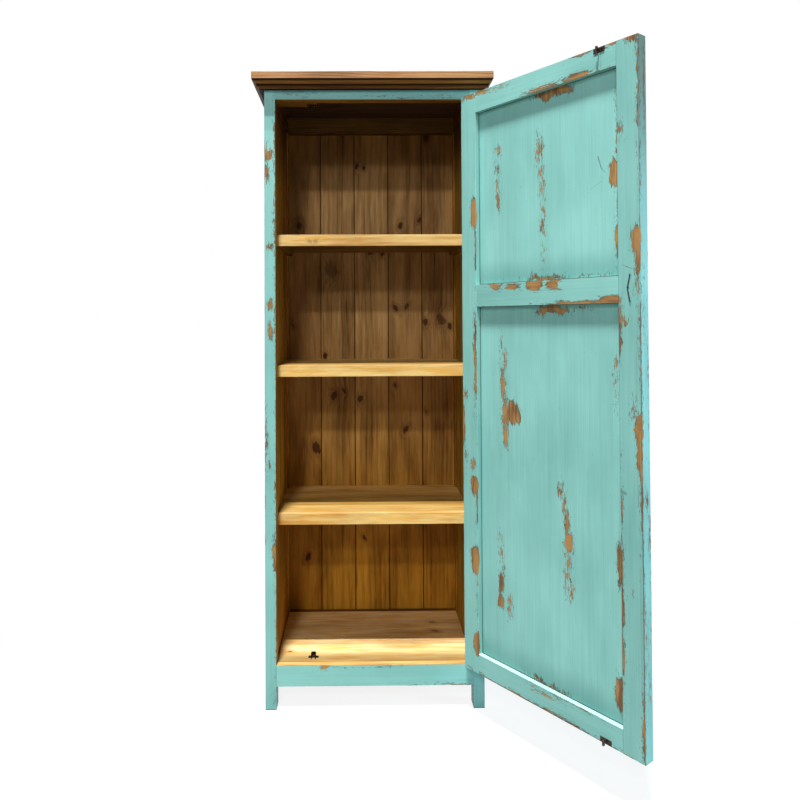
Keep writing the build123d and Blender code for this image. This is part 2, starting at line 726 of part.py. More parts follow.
def door_stile(edge, inner_edge, way):
    """A stile whose outer edge is at edge; its ploughed edge is at inner_edge and way points into it."""
    with BuildPart() as stile:
        with BuildSketch(door_plane.offset(door_bottom)):
            with Locations(((edge + inner_edge) / 2, -door_thickness / 2)):
                Rectangle(stile_width, door_thickness)
        extrude(amount=door_top - door_bottom)
        fillet(stile.edges().filter_by(Axis.Z), radius=arris)
        for low, high in opening_rows:
            with BuildSketch(door_plane.offset(low - panel_groove_depth)):
                with Locations((inner_edge + way * panel_groove_depth / 2, groove_v)):
                    Rectangle(panel_groove_depth, panel_groove_width)
            extrude(amount=high - low + 2 * panel_groove_depth, mode=Mode.SUBTRACT)
        for low, high in rail_spans:
            depth = door_tenon_length + joint_play
            with BuildSketch(door_plane.offset(low + door_tenon_shoulder - joint_play)):
                with Locations((inner_edge + way * depth / 2, groove_v)):
                    Rectangle(depth, panel_groove_width)
            extrude(amount=high - low - 2 * door_tenon_shoulder + 2 * joint_play, mode=Mode.SUBTRACT)
    return stile.part


def door_rail(low, high, grooves):
    """A rail between the stiles with a tenon on each end and a groove at each height in grooves."""
    rail_middle = (stile_width + free_edge) / 2
    with BuildPart() as rail:
        with BuildSketch(door_plane.offset(low)):
            with Locations((rail_middle, -door_thickness / 2)):
                Rectangle(free_edge - stile_width, door_thickness)
        extrude(amount=high - low)
        for groove_low in grooves:
            with BuildSketch(door_plane.offset(groove_low)):
                with Locations((rail_middle, groove_v)):
                    Rectangle(free_edge - stile_width, panel_groove_width)
            extrude(amount=panel_groove_depth, mode=Mode.SUBTRACT)
        with BuildSketch(door_plane.offset(low + door_tenon_shoulder)):
            with Locations((rail_middle, groove_v)):
                Rectangle(free_edge - stile_width + 2 * door_tenon_length, door_tenon_thickness)
        extrude(amount=high - low - 2 * door_tenon_shoulder)
    return rail.part


with BuildPart() as door_stile_hinge:
    add(door_stile(0, stile_width, -1))
    with BuildSketch(door_leaf_face.offset(-leaf_thickness)):
        with Locations(*[(0, z) for z in hinge_screw_zs]):
            Circle(hinge_screw_radius)
    extrude(amount=-hinge_screw_length, mode=Mode.SUBTRACT)
door_stile_hinge.part.label = "door_stile_hinge"
export_step(door_stile_hinge.part, "parts/door_stile_hinge.step")

with BuildPart() as door_stile_free:
    add(door_stile(door_width, free_edge, 1))
    with BuildSketch(door_side(pull_distance, 0, pull_height, (1, 0), (0, -1))):
        Circle(cotter_leg_spacing / 2 + cotter_radius + cotter_bore_play)
    extrude(amount=door_thickness, mode=Mode.SUBTRACT)
door_stile_free.part.label = "door_stile_free"
export_step(door_stile_free.part, "parts/door_stile_free.step")

# Faces of the door turned to the cabinet, at the heights of the two strikes.
strike_zs = (door_bottom + strike_edge_distance + strike_plate_height / 2,
             door_top - strike_edge_distance - strike_plate_height / 2)
strike_screw_spots = [(s * catch_screw_spacing / 2, 0) for s in (-1, 1)]
door_inner_v = -door_thickness

with BuildPart() as door_rail_bottom:
    add(door_rail(rail_spans[0][0], rail_spans[0][1], [opening_rows[0][0] - panel_groove_depth]))
    with BuildSketch(door_side(catch_distance, door_inner_v, strike_zs[0], (1, 0), (0, -1))):
        with Locations(*strike_screw_spots):
            Circle(catch_screw_radius)
    extrude(amount=-catch_screw_length, mode=Mode.SUBTRACT)
door_rail_bottom.part.label = "door_rail_bottom"
export_step(door_rail_bottom.part, "parts/door_rail_bottom.step")

with BuildPart() as door_rail_lock:
    lock_grooves = [lock_rail_bottom, lock_rail_top - panel_groove_depth]
    add(door_rail(lock_rail_bottom, lock_rail_top, lock_grooves))
door_rail_lock.part.label = "door_rail_lock"
export_step(door_rail_lock.part, "parts/door_rail_lock.step")

with BuildPart() as door_rail_top:
    add(door_rail(rail_spans[2][0], rail_spans[2][1], [rail_spans[2][0]]))
    with BuildSketch(door_side(catch_distance, door_inner_v, strike_zs[1], (1, 0), (0, -1))):
        with Locations(*strike_screw_spots):
            Circle(catch_screw_radius)
    extrude(amount=-catch_screw_length, mode=Mode.SUBTRACT)
door_rail_top.part.label = "door_rail_top"
export_step(door_rail_top.part, "parts/door_rail_top.step")

# ---- door panels ----
# A flat back face, a tongue all round in the grooves, and a raised field on the outside.
panel_width = free_edge - stile_width + 2 * (panel_groove_depth - panel_play)
panel_centre_u = (stile_width + free_edge) / 2
tongue_v = groove_v + panel_groove_width / 2 - panel_play


def door_panel(low, high):
    """A fielded panel for the opening between the heights low and high."""
    centre_z = (low + high) / 2
    with BuildPart() as panel:
        with BuildSketch(door_side(panel_centre_u, tongue_v, centre_z, (1, 0), (0, -1))):
            Rectangle(panel_width, high - low + 2 * (panel_groove_depth - panel_play))
        extrude(amount=panel_groove_width - 2 * panel_play)
        with BuildSketch(door_side(panel_centre_u, tongue_v, centre_z, (1, 0), (0, -1))):
            Rectangle(free_edge - stile_width - 2 * field_base_margin, high - low - 2 * field_base_margin)
        with BuildSketch(door_side(panel_centre_u, tongue_v + field_rise, centre_z, (1, 0), (0, -1))):
            Rectangle(free_edge - stile_width - 2 * field_margin, high - low - 2 * field_margin)
        loft()
    return panel.part


with BuildPart() as door_panel_lower:
    add(door_panel(opening_rows[0][0], opening_rows[0][1]))
door_panel_lower.part.label = "door_panel_lower"
export_step(door_panel_lower.part, "parts/door_panel_lower.step")

with BuildPart() as door_panel_upper:
    add(door_panel(opening_rows[1][0], opening_rows[1][1]))
door_panel_upper.part.label = "door_panel_upper"
export_step(door_panel_upper.part, "parts/door_panel_upper.step")

# ---- catches ----
# A bent spring clip stands on a screwed plate on the deck, and another hangs from a block behind
# the top rail. A strike with a flat-sided head on each end of the door enters them.
with BuildPart() as catch_block:
    with BuildSketch(Plane.XY.offset(top_rail_bottom)):
        with Locations((inner_left, front + top_rail_thickness)):
            Rectangle(block_length, block_depth, align=(Align.MIN, Align.MIN))
    extrude(amount=block_height)
    with BuildSketch(Plane.XY.offset(top_rail_bottom)):
        with Locations(*catch_screw_spots):
            Circle(catch_screw_radius)
    extrude(amount=catch_screw_length, mode=Mode.SUBTRACT)
catch_block.part.label = "catch_block"
export_step(catch_block.part, "parts/catch_block.step")

throat_half = (catch_throat + catch_arm_thickness) / 2
belly_half = (catch_belly - catch_arm_thickness) / 2
mouth_y = front + catch_mouth_setback
belly_y = mouth_y + catch_mouth_length + catch_shoulder_length
rear_y = mouth_y + catch_length - catch_arm_thickness / 2
clip_half = [(belly_half, mouth_y), (throat_half, mouth_y + catch_mouth_length), (belly_half, belly_y),
             (belly_half, rear_y - catch_corner), (belly_half - catch_corner, rear_y)]
clip_points = [(catch_x - half, y) for half, y in clip_half]
clip_points += [(catch_x + half, y) for half, y in reversed(clip_half)]


def clip_catch(base_z, way):
    """A spring clip with its plate on base_z and its arms standing off in the direction of way."""
    with BuildPart() as clip:
        with BuildSketch(Plane.XY.offset(base_z)):
            with Locations((catch_x, catch_y)):
                Rectangle(catch_plate_length, catch_plate_width)
            with Locations(*catch_screw_spots):
                Circle(catch_screw_radius, mode=Mode.SUBTRACT)
        extrude(amount=way * catch_plate_thickness)
        with BuildSketch(Plane.XY.offset(base_z + way * catch_plate_thickness)):
            with BuildLine():
                path = FilletPolyline(*clip_points, radius=catch_bend)
            trace(path, line_width=catch_arm_thickness)
        extrude(amount=way * catch_arm_height)
    return clip.part


def round_head_screws(spots, head_plane, length, head_height):
    """Slotted screws: shanks go in along the plane's normal reversed, heads stand out of it."""
    with BuildPart() as screws:
        with BuildSketch(head_plane):
            with Locations(*spots):
                Circle(catch_screw_radius - screw_play)
        extrude(amount=-length)
        with BuildSketch(head_plane):
            with Locations(*spots):
                Circle(catch_screw_head_radius - screw_play)
        extrude(amount=head_height)
        with BuildSketch(head_plane.offset(head_height)):
            with Locations(*spots):
                Rectangle(2 * catch_screw_head_radius, slot_width)
        extrude(amount=-slot_depth, mode=Mode.SUBTRACT)
    return screws.part


with BuildPart() as lower_catch:
    add(clip_catch(deck_top, 1))
lower_catch.part.label = "lower_catch"
export_step(lower_catch.part, "parts/lower_catch.step")

with BuildPart() as upper_catch:
    add(clip_catch(top_rail_bottom, -1))
upper_catch.part.label = "upper_catch"
export_step(upper_catch.part, "parts/upper_catch.step")

catch_screw_reach = catch_screw_length - catch_screw_end_play + catch_plate_thickness
upper_head_z = top_rail_bottom - catch_plate_thickness
upper_head_plane = Plane(origin=(0, 0, upper_head_z), x_dir=(1, 0, 0), z_dir=(0, 0, -1))
with BuildPart() as catch_screws:
    add(round_head_screws(catch_screw_spots, Plane.XY.offset(deck_top + catch_plate_thickness),
                          catch_screw_reach, catch_screw_head_height))
    add(round_head_screws([(x, -y) for x, y in catch_screw_spots], upper_head_plane,
                          catch_screw_reach, catch_screw_head_height))
catch_screws.part.label = "catch_screws"
export_step(catch_screws.part, "parts/catch_screws.step")


def strike(centre_z):
    """A small plate on the door's inner face, a neck and an upright head with round ends."""
    face = door_side(catch_distance, door_inner_v, centre_z, (1, 0), (0, -1))
    with BuildPart() as piece:
        with BuildSketch(face):
            Rectangle(catch_plate_length, strike_plate_height)
            with Locations(*strike_screw_spots):
                Circle(catch_screw_radius, mode=Mode.SUBTRACT)
        extrude(amount=strike_plate_thickness)
        with BuildSketch(face.offset(strike_plate_thickness)):
            with Locations(*strike_screw_spots):
                Circle(catch_screw_head_radius)
        extrude(amount=-strike_screw_head_height, mode=Mode.SUBTRACT)
        with BuildSketch(face.offset(strike_plate_thickness)):
            Circle(strike_neck_radius)
        extrude(amount=strike_neck_length)
        with BuildSketch(face.offset(strike_plate_thickness + strike_neck_length)):
            SlotOverall(strike_head_height, strike_head_width, rotation=90)
        extrude(amount=strike_head_thickness)
    return piece.part


with BuildPart() as lower_strike:
    add(strike(strike_zs[0]))
lower_strike.part.label = "lower_strike"
export_step(lower_strike.part, "parts/lower_strike.step")

with BuildPart() as upper_strike:
    add(strike(strike_zs[1]))
upper_strike.part.label = "upper_strike"
export_step(upper_strike.part, "parts/upper_strike.step")

strike_seat = strike_plate_thickness - strike_screw_head_height
with BuildPart() as strike_screws:
    for centre_z in strike_zs:
        seat_plane = door_side(catch_distance, door_inner_v - strike_seat, centre_z, (1, 0), (0, -1))
        add(round_head_screws(strike_screw_spots, seat_plane, catch_screw_length - catch_screw_end_play,
                              strike_screw_head_height - screw_play))
strike_screws.part.label = "strike_screws"
export_step(strike_screws.part, "parts/strike_screws.step")

# ---- ring pull ----
# A split cotter goes through a domed rosette and the stile; its eye outside holds the ring and
# its two legs are clinched over the door's inner face.
cotter_bore = cotter_leg_spacing / 2 + cotter_radius + cotter_bore_play
rosette_face = door_side(pull_distance, 0, pull_height, (1, 0), (0, -1))

with BuildPart() as pull_rosette:
    with BuildSketch(rosette_face):
        Circle(rosette_radius)
    extrude(amount=-rosette_rim)
    with BuildSketch(rosette_face.offset(-rosette_rim)):
        Circle(rosette_radius)
    with BuildSketch(rosette_face.offset(-rosette_rim - rosette_rise)):
        Circle(rosette_top_radius)
    loft()
    with BuildSketch(rosette_face):
        Circle(cotter_bore)
    extrude(amount=-(rosette_rim + rosette_rise), mode=Mode.SUBTRACT)
    rim_edges = pull_rosette.edges().filter_by(GeomType.CIRCLE).sort_by(SortBy.RADIUS)[-2:]
    fillet(rim_edges, radius=rosette_rim_round)
pull_rosette.part.label = "pull_rosette"
export_step(pull_rosette.part, "parts/pull_rosette.step")

# Wire path in the door's axes: (along the door, out of it, up).
leg_z = cotter_leg_spacing / 2
leg_v = door_inner_v - cotter_radius - cotter_seat_play
neck_v = rosette_rim + rosette_rise + eye_clearance
eye_v = neck_v + eye_depth
half_path = [(cotter_leg_lean, leg_v, cotter_leg_reach), (0, leg_v, leg_z), (0, neck_v, leg_z),
             (0, neck_v + eye_shoulder, eye_height / 2), (0, eye_v, eye_height / 2)]
cotter_path = half_path + [(u, v, -z) for u, v, z in reversed(half_path)]
cotter_points = [door_plane.from_local_coords(Vector(pull_distance + u, v, pull_height + z))
                 for u, v, z in cotter_path]

with BuildPart() as pull_cotter:
    with BuildLine():
        wire = FilletPolyline(*cotter_points, radius=cotter_bend)
    with BuildSketch(Plane(origin=wire @ 0, z_dir=wire % 0)):
        Circle(cotter_radius)
    sweep(path=wire)
pull_cotter.part.label = "pull_cotter"
export_step(pull_cotter.part, "parts/pull_cotter.step")

# The ring hangs in the eye: its top wire lies just over the lower side of the eye.
ring_axis_z = pull_height - eye_height / 2 + cotter_radius + ring_play + ring_wire_radius
ring_axis_v = (neck_v + eye_v) / 2 + ring_shift
with BuildPart() as pull_ring:
    ring_centre = door_plane.from_local_coords(Vector(pull_distance, ring_axis_v, ring_axis_z - ring_radius))
    with BuildLine(Plane(origin=ring_centre, x_dir=door_plane.x_dir, z_dir=door_plane.y_dir)):
        hoop = CenterArc((0, 0), ring_radius, 0, 360)
    with BuildSketch(Plane(origin=hoop @ 0, z_dir=hoop % 0)):
        Circle(ring_wire_radius)
    sweep(path=hoop)
pull_ring.part.label = "pull_ring"
export_step(pull_ring.part, "parts/pull_ring.step")
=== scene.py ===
import math
import random

import bpy
from mathutils import Matrix, Vector


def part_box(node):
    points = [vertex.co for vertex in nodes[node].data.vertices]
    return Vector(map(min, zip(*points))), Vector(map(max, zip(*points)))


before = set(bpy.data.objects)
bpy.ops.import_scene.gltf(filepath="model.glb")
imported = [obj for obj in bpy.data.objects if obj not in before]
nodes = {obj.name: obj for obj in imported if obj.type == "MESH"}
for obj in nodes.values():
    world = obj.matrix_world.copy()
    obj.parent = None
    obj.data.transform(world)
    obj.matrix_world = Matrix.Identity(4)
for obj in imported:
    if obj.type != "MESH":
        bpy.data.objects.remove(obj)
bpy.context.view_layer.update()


# ---------------------------------------------------------------- the room
# A pale floor and a plain white surround. Two ceiling lamps and two lower ones
# light the cabinet from the front, with a cool shop window at its right.
scene = bpy.context.scene
scene.view_settings.view_transform = "Standard"

MM = 0.001
EYE = Vector((259.0, -2051.3, 1110.8)) * MM
EYE_YAW, EYE_PITCH, EYE_ROLL = -0.0094, 0.0163, 0.0046
SENSOR_WIDTH = 36.0
LENS = 31.529
SHIFT_X, SHIFT_Y = 0.04224, -0.1119

eye_turn = (Matrix.Rotation(EYE_YAW, 3, "Z")
            @ Matrix.Rotation(EYE_PITCH, 3, "X")
            @ Matrix.Rotation(EYE_ROLL, 3, "Y"))
eye_right, eye_ahead, eye_up = (eye_turn @ Vector(axis)
                                for axis in ((1, 0, 0), (0, 1, 0), (0, 0, 1)))
eye_data = bpy.data.cameras.new("eye")
eye_data.lens = LENS
eye_data.sensor_width = SENSOR_WIDTH
eye_data.shift_x, eye_data.shift_y = SHIFT_X, SHIFT_Y
eye = bpy.data.objects.new("eye", eye_data)
eye.matrix_world = Matrix.Translation(EYE) @ Matrix(
    (eye_right, eye_up, -eye_ahead)).transposed().to_4x4()
scene.collection.objects.link(eye)
scene.camera = eye


def put(tree, kind, inputs=None, **settings):
    """Adds one shader node; an input is a number, a colour or a socket."""
    made = tree.nodes.new("ShaderNode" + kind)
    for name, value in settings.items():
        setattr(made, name, value)
    for name, value in (inputs or {}).items():
        if isinstance(value, bpy.types.NodeSocket):
            tree.links.new(value, made.inputs[name])
        else:
            made.inputs[name].default_value = value
    return made


def reckon(tree, operation, *values, clamp=False):
    """One Math node's answer."""
    return put(tree, "Math", dict(enumerate(values)),
               operation=operation, use_clamp=clamp).outputs[0]


def new_material(name):
    made = bpy.data.materials.new(name)
    made.use_nodes = True
    made.node_tree.nodes.clear()
    return made, made.node_tree


def shown_as(tree, lit, shown):
    """Lights with one shader, and shows the other to the viewer, gloss and glass."""
    path = put(tree, "LightPath")
    seen = reckon(tree, "MAXIMUM", path.outputs["Is Camera Ray"],
                  reckon(tree, "MAXIMUM", path.outputs["Is Glossy Ray"],
                         path.outputs["Is Transmission Ray"]))
    return put(tree, "MixShader", {0: seen, 1: lit, 2: shown}).outputs[0]


WHITE = (1, 1, 1, 1)
SKY_STRENGTH = 0.05
scene.world = bpy.data.worlds.new("shop_light")
scene.world.use_nodes = True
sky = scene.world.node_tree
sky.nodes.clear()
sky_light = put(sky, "Background", {"Color": (1.0, 0.985, 0.96, 1),
                                    "Strength": SKY_STRENGTH})
sky_white = put(sky, "Background", {"Color": WHITE, "Strength": 1.0})
put(sky, "OutputWorld",
    {"Surface": shown_as(sky, sky_light.outputs[0], sky_white.outputs[0])})

# pale under the cabinet, the floor fades to plain white around it
FLOOR_HALF, FLOOR_MIDDLE, FLOOR_DROP = 9.0, 0.3, 0.0005
FADE_MIDDLE, WHITE_FROM, WHITE_TO = 0.45, 0.55, 1.5
FLOOR_GREY, FLOOR_LIFT = (0.20, 0.20, 0.198, 1), 0.86
bpy.ops.mesh.primitive_plane_add(size=2 * FLOOR_HALF)
floor = bpy.context.object
floor.name = "floor"
floor.data.transform(Matrix.Translation((FLOOR_MIDDLE, 0.0, -FLOOR_DROP)))
floor_material, tree = new_material("pale_floor")
spot_here = put(tree, "TexCoord").outputs["Object"]
away = put(tree, "VectorMath", {0: spot_here, 1: (FADE_MIDDLE, 0.0, 0.0)},
           operation="DISTANCE").outputs["Value"]
fade = put(tree, "MapRange", {"Value": away, "From Min": WHITE_FROM,
                              "From Max": WHITE_TO},
           interpolation_type="SMOOTHSTEP").outputs[0]
pale = put(tree, "BsdfDiffuse", {"Color": FLOOR_GREY}).outputs[0]
lift = put(tree, "Emission", {"Color": WHITE, "Strength": FLOOR_LIFT}).outputs[0]
near_floor = put(tree, "AddShader", {0: pale, 1: lift}).outputs[0]
far_floor = put(tree, "Emission", {"Color": WHITE, "Strength": 1.0}).outputs[0]
faded = put(tree, "MixShader", {0: fade, 1: near_floor, 2: far_floor}).outputs[0]
put(tree, "OutputMaterial", {"Surface": shown_as(tree, pale, faded)})
floor.data.materials.append(floor_material)


def lamp(name, place, aim, width, height, watts, colour):
    """A flat rectangular lamp that faces its aim."""
    data = bpy.data.lights.new(name, "AREA")
    data.shape = "RECTANGLE"
    data.size, data.size_y = width, height
    data.energy = watts
    data.color = colour
    made = bpy.data.objects.new(name, data)
    made.matrix_world = (Matrix.Translation(place)
                         @ (Vector(aim) - Vector(place)).to_track_quat(
                             "-Z", "Y").to_matrix().to_4x4())
    scene.collection.objects.link(made)


WARM_LIGHT, WINDOW_LIGHT = (1.0, 0.975, 0.94), (0.50, 0.82, 1.0)
AIM_SIDE, AIM_HEIGHT = 0.35, 0.95
# (name, place, width, height, watts, colour) of each
for name, place, width, height, watts, colour in (
        ("ceiling_lamp_near", (-0.6, -3.80, 13.1), 1.1, 0.25, 2250, WARM_LIGHT),
        ("ceiling_lamp_far", (-0.6, -2.75, 13.3), 1.1, 0.25, 1440, WARM_LIGHT),
        ("front_lamp_high", (-0.8, -6.25, 4.82), 0.8, 0.25, 112, WARM_LIGHT),
        ("front_lamp_low", (-0.8, -4.8, 3.05), 0.8, 0.25, 32, WARM_LIGHT),
        ("shop_window", (5.2, -1.45, 1.6), 1.6, 2.0, 165, WINDOW_LIGHT)):
    aim = (place[0] if "ceiling" in name else AIM_SIDE, 0.0, AIM_HEIGHT)
    lamp(name, place, aim, width, height, watts, colour)


# ---------------------------------------------------------- the front posts
# Two pine posts of 32 by 45 mm, tenoned for the rails, are the front legs too.
# Their front and outer side are brushed turquoise, rubbed through to the bare
# wood; the side in the cabinet is stained brown.
def shader_group(name, inputs, outputs):
    """A new node group: its tree, the sockets it takes and the ones it gives."""
    tree = bpy.data.node_groups.new(name, "ShaderNodeTree")
    for direction, sockets in (("INPUT", inputs), ("OUTPUT", outputs)):
        for label, kind in sockets:
            tree.interface.new_socket(
                label, in_out=direction, socket_type="NodeSocket" + kind)
    return (tree, tree.nodes.new("NodeGroupInput").outputs,
            tree.nodes.new("NodeGroupOutput").inputs)


def place_group(tree, group, inputs):
    """Places a shader group in a tree, and gives its outputs by name."""
    return put(tree, "Group", inputs, node_tree=group).outputs


def stretched_noise(tree, place, stretch, detail=3.0, rough=0.55, output=0):
    """Noise with so many waves a metre along each axis."""
    spread = put(tree, "Mapping", {"Vector": place, "Scale": stretch})
    return put(tree, "TexNoise", {"Vector": spread.outputs[0], "Scale": 1.0,
                                  "Detail": detail, "Roughness": rough}).outputs[output]


def smooth_step(tree, value, low, high):
    return put(tree, "MapRange", {"Value": value, "From Min": low, "From Max": high},
               interpolation_type="SMOOTHSTEP").outputs[0]


def mixed(tree, factor, first, second, blend="MIX"):
    return put(tree, "Mix", {0: factor, 6: first, 7: second}, data_type="RGBA",
               blend_type=blend, clamp_factor=True).outputs[2]


def swing(tree, noise, amount, middle=0.5):
    """Noise as so much up and down about nought."""
    return reckon(tree, "MULTIPLY", reckon(tree, "SUBTRACT", noise, middle), amount)


# a sawn board: growth rings cut lengthways, fibres and an uneven stain
pine_grain, took, gives = shader_group(
    "pine_grain",
    [("Place", "Vector"), ("Pith Across", "Float"), ("Pith Behind", "Float"),
     ("Ring Width", "Float"), ("Knot Rise", "Float"), ("Knot Dark", "Float"),
     ("Pale Wood", "Color"), ("Dark Wood", "Color"), ("Knot Wood", "Color"),
     ("Warm Stain", "Color"), ("Ring Strength", "Float")],
    [("Color", "Color"), ("Height", "Float"), ("Sheen Lost", "Float")])
tree = pine_grain
# rings round a heart line, which wanders along the board
split = put(tree, "SeparateXYZ", {0: took["Place"]})
wander = stretched_noise(tree, took["Place"], (3.0, 3.0, 1.1), 2.0)
ripple = stretched_noise(tree, took["Place"], (45.0, 45.0, 5.0), 2.0)
across = reckon(tree, "ADD",
                reckon(tree, "SUBTRACT", split.outputs[0], took["Pith Across"]),
                reckon(tree, "ADD", swing(tree, wander, 0.075),
                       swing(tree, ripple, 0.005)))
behind = reckon(tree, "SUBTRACT", split.outputs[1], took["Pith Behind"])
reach = reckon(tree, "SQRT", reckon(
    tree, "ADD", reckon(tree, "MULTIPLY", across, across),
    reckon(tree, "MULTIPLY", behind, behind)))
rings = reckon(tree, "ADD", reckon(tree, "DIVIDE", reach, took["Ring Width"]),
               took["Knot Rise"])
# each ring darkens slowly into its late wood, in some years more than in others
band = reckon(tree, "FRACT", rings)
late = reckon(tree, "MULTIPLY", smooth_step(tree, band, 0.25, 0.88),
              reckon(tree, "SUBTRACT", 1.0, smooth_step(tree, band, 0.93, 1.0)))
year = put(tree, "TexWhiteNoise", {"W": reckon(tree, "FLOOR", rings)},
           noise_dimensions="1D").outputs[0]
late = reckon(tree, "MULTIPLY", late, reckon(
    tree, "MULTIPLY_ADD", year, 0.7, 0.35))
# fibres, streaks and blotches over the rings, then a warm stain taken up unevenly
fibre = stretched_noise(tree, took["Place"], (700.0, 700.0, 16.0), 4.0, 0.6)
coarse = stretched_noise(tree, took["Place"], (120.0, 120.0, 6.0), 3.0, 0.6)
blotch = stretched_noise(tree, took["Place"], (17.0, 17.0, 3.5), 3.0, 0.5)
tone = reckon(tree, "ADD",
              reckon(tree, "MULTIPLY_ADD", late, took["Ring Strength"], 0.22),
              reckon(tree, "ADD", swing(tree, fibre, 1.0),
                     reckon(tree, "ADD", swing(tree, coarse, 0.75),
                            swing(tree, blotch, 1.9))), clamp=True)
wood = mixed(tree, tone, took["Pale Wood"], took["Dark Wood"])
uneven = stretched_noise(tree, took["Place"], (62.0, 62.0, 8.0), 3.0, 0.6)
wood = mixed(tree, smooth_step(tree, uneven, 0.42, 0.64), wood, took["Warm Stain"],
             "MULTIPLY")
tree.links.new(mixed(tree, took["Knot Dark"], wood, took["Knot Wood"]), gives["Color"])
tree.links.new(reckon(tree, "ADD", swing(tree, fibre, 0.8),
                      reckon(tree, "MULTIPLY", late, 0.5)), gives["Height"])
tree.links.new(reckon(tree, "MULTIPLY_ADD", fibre, 0.25,
                      reckon(tree, "MULTIPLY_ADD", tone, 0.12, 0.36)),
               gives["Sheen Lost"])

# one rubbed spot, as mm inside its rim, chained to the next by Worn; a flaky
# one breaks up into islands along the grain
rubbed_spot, took, gives = shader_group(
    "rubbed_spot",
    [("Place", "Vector"), ("Across", "Float"), ("Face", "Float"), ("Along", "Float"),
     ("Half Across", "Float"), ("Half Along", "Float"), ("Flaky", "Float"),
     ("Fine", "Float"), ("Worn", "Float")], [("Worn", "Float")])
tree = rubbed_spot
split = put(tree, "SeparateXYZ", {0: took["Place"]})
aside = reckon(tree, "ABSOLUTE", reckon(tree, "DIVIDE", reckon(
    tree, "SUBTRACT", split.outputs[0], took["Across"]), took["Half Across"]))
along = reckon(tree, "ABSOLUTE", reckon(tree, "DIVIDE", reckon(
    tree, "SUBTRACT", split.outputs[2], took["Along"]), took["Half Along"]))
SQUARENESS = 2.7
span = reckon(tree, "POWER", reckon(
    tree, "ADD", reckon(tree, "POWER", aside, SQUARENESS),
    reckon(tree, "POWER", along, SQUARENESS)), 1.0 / SQUARENESS)
inside = reckon(tree, "MULTIPLY", reckon(tree, "SUBTRACT", 1.0, span), reckon(
    tree, "MULTIPLY", 1 / MM,
    reckon(tree, "MINIMUM", took["Half Across"], took["Half Along"])))
off_face = reckon(tree, "ABSOLUTE", reckon(tree, "SUBTRACT", split.outputs[1],
                                           took["Face"]))
inside = reckon(tree, "MULTIPLY_ADD", off_face, -4000.0, inside)
speckled = reckon(tree, "MULTIPLY", took["Flaky"], swing(tree, took["Fine"], 1.0, 0.10))
tree.links.new(reckon(tree, "MAXIMUM", took["Worn"], reckon(
    tree, "ADD", speckled, inside)), gives["Worn"])

# rubbing along a board's arrises, in broken lengths, as mm inside its rim
rubbed_edge, took, gives = shader_group(
    "rubbed_edge",
    [("Place", "Vector"), ("Low Corner", "Vector"), ("High Corner", "Vector"),
     ("Reach", "Float"), ("Spread", "Float"), ("Worn", "Float")],
    [("Worn", "Float")])
tree = rubbed_edge
low = put(tree, "VectorMath", {0: took["Place"], 1: took["Low Corner"]},
          operation="SUBTRACT").outputs[0]
high = put(tree, "VectorMath", {0: took["High Corner"], 1: took["Place"]},
           operation="SUBTRACT").outputs[0]
near = put(tree, "SeparateXYZ", {0: put(
    tree, "VectorMath", {0: low, 1: high}, operation="MINIMUM").outputs[0]}).outputs
first = reckon(tree, "MINIMUM", near[0], near[1])
second = reckon(tree, "MAXIMUM", near[0], near[1])
edge = reckon(tree, "MAXIMUM", first, reckon(tree, "MINIMUM", second, near[2]))
lengths = stretched_noise(tree, took["Place"], (16.0, 16.0, 7.0), 3.0)
reach = reckon(tree, "MULTIPLY_ADD", reckon(tree, "ADD", took["Reach"], 14.0), smooth_step(
    tree, reckon(tree, "ADD", lengths, took["Spread"]), 0.40, 0.66), -14.0)
tree.links.new(reckon(tree, "MAXIMUM", took["Worn"], reckon(
    tree, "MULTIPLY_ADD", edge, -2200.0, reach)), gives["Worn"])

# a scratch or a crack between two points, chained to the next by Lined
scored_line, took, gives = shader_group(
    "scored_line",
    [("Place", "Vector"), ("From", "Vector"), ("To", "Vector"), ("Half Width", "Float"),
     ("Depth", "Float"), ("Fine", "Float"), ("Lined", "Float")], [("Lined", "Float")])
tree = scored_line
toward = put(tree, "VectorMath", {0: took["To"], 1: took["From"]},
             operation="SUBTRACT").outputs[0]
run = put(tree, "VectorMath", {0: took["Place"], 1: took["From"]},
          operation="SUBTRACT").outputs[0]
part_way = reckon(tree, "DIVIDE", *(
    put(tree, "VectorMath", {0: pair, 1: toward}, operation="DOT_PRODUCT").outputs["Value"]
    for pair in (run, toward)), clamp=True)
off_line = put(tree, "VectorMath", {0: run, 1: put(
    tree, "VectorMath", {0: toward, "Scale": part_way}, operation="SCALE").outputs[0]},
    operation="DISTANCE").outputs["Value"]
off_line = reckon(tree, "MULTIPLY_ADD", took["Fine"], 0.0012, off_line)
line = reckon(tree, "MULTIPLY", took["Depth"], put(tree, "MapRange", {
    "Value": off_line, "From Min": took["Half Width"],
    "From Max": reckon(tree, "MULTIPLY", took["Half Width"], 0.4)}).outputs[0])
tree.links.new(reckon(tree, "MAXIMUM", took["Lined"], line), gives["Lined"])

# brushed turquoise, rubbed through where Worn, in mm, is above nought
turquoise_coat, took, gives = shader_group(
    "turquoise_coat",
    [("Place", "Vector"), ("Worn", "Float"), ("Fine", "Float"), ("Grime And Shade", "Float"),
     ("Paint", "Color"), ("Deep Paint", "Color"), ("Rim", "Color"),
     ("Bare Wood", "Color"), ("Brown Wood", "Color")],
    [("Color", "Color"), ("Height", "Float"), ("Sheen Lost", "Float")])
tree = turquoise_coat
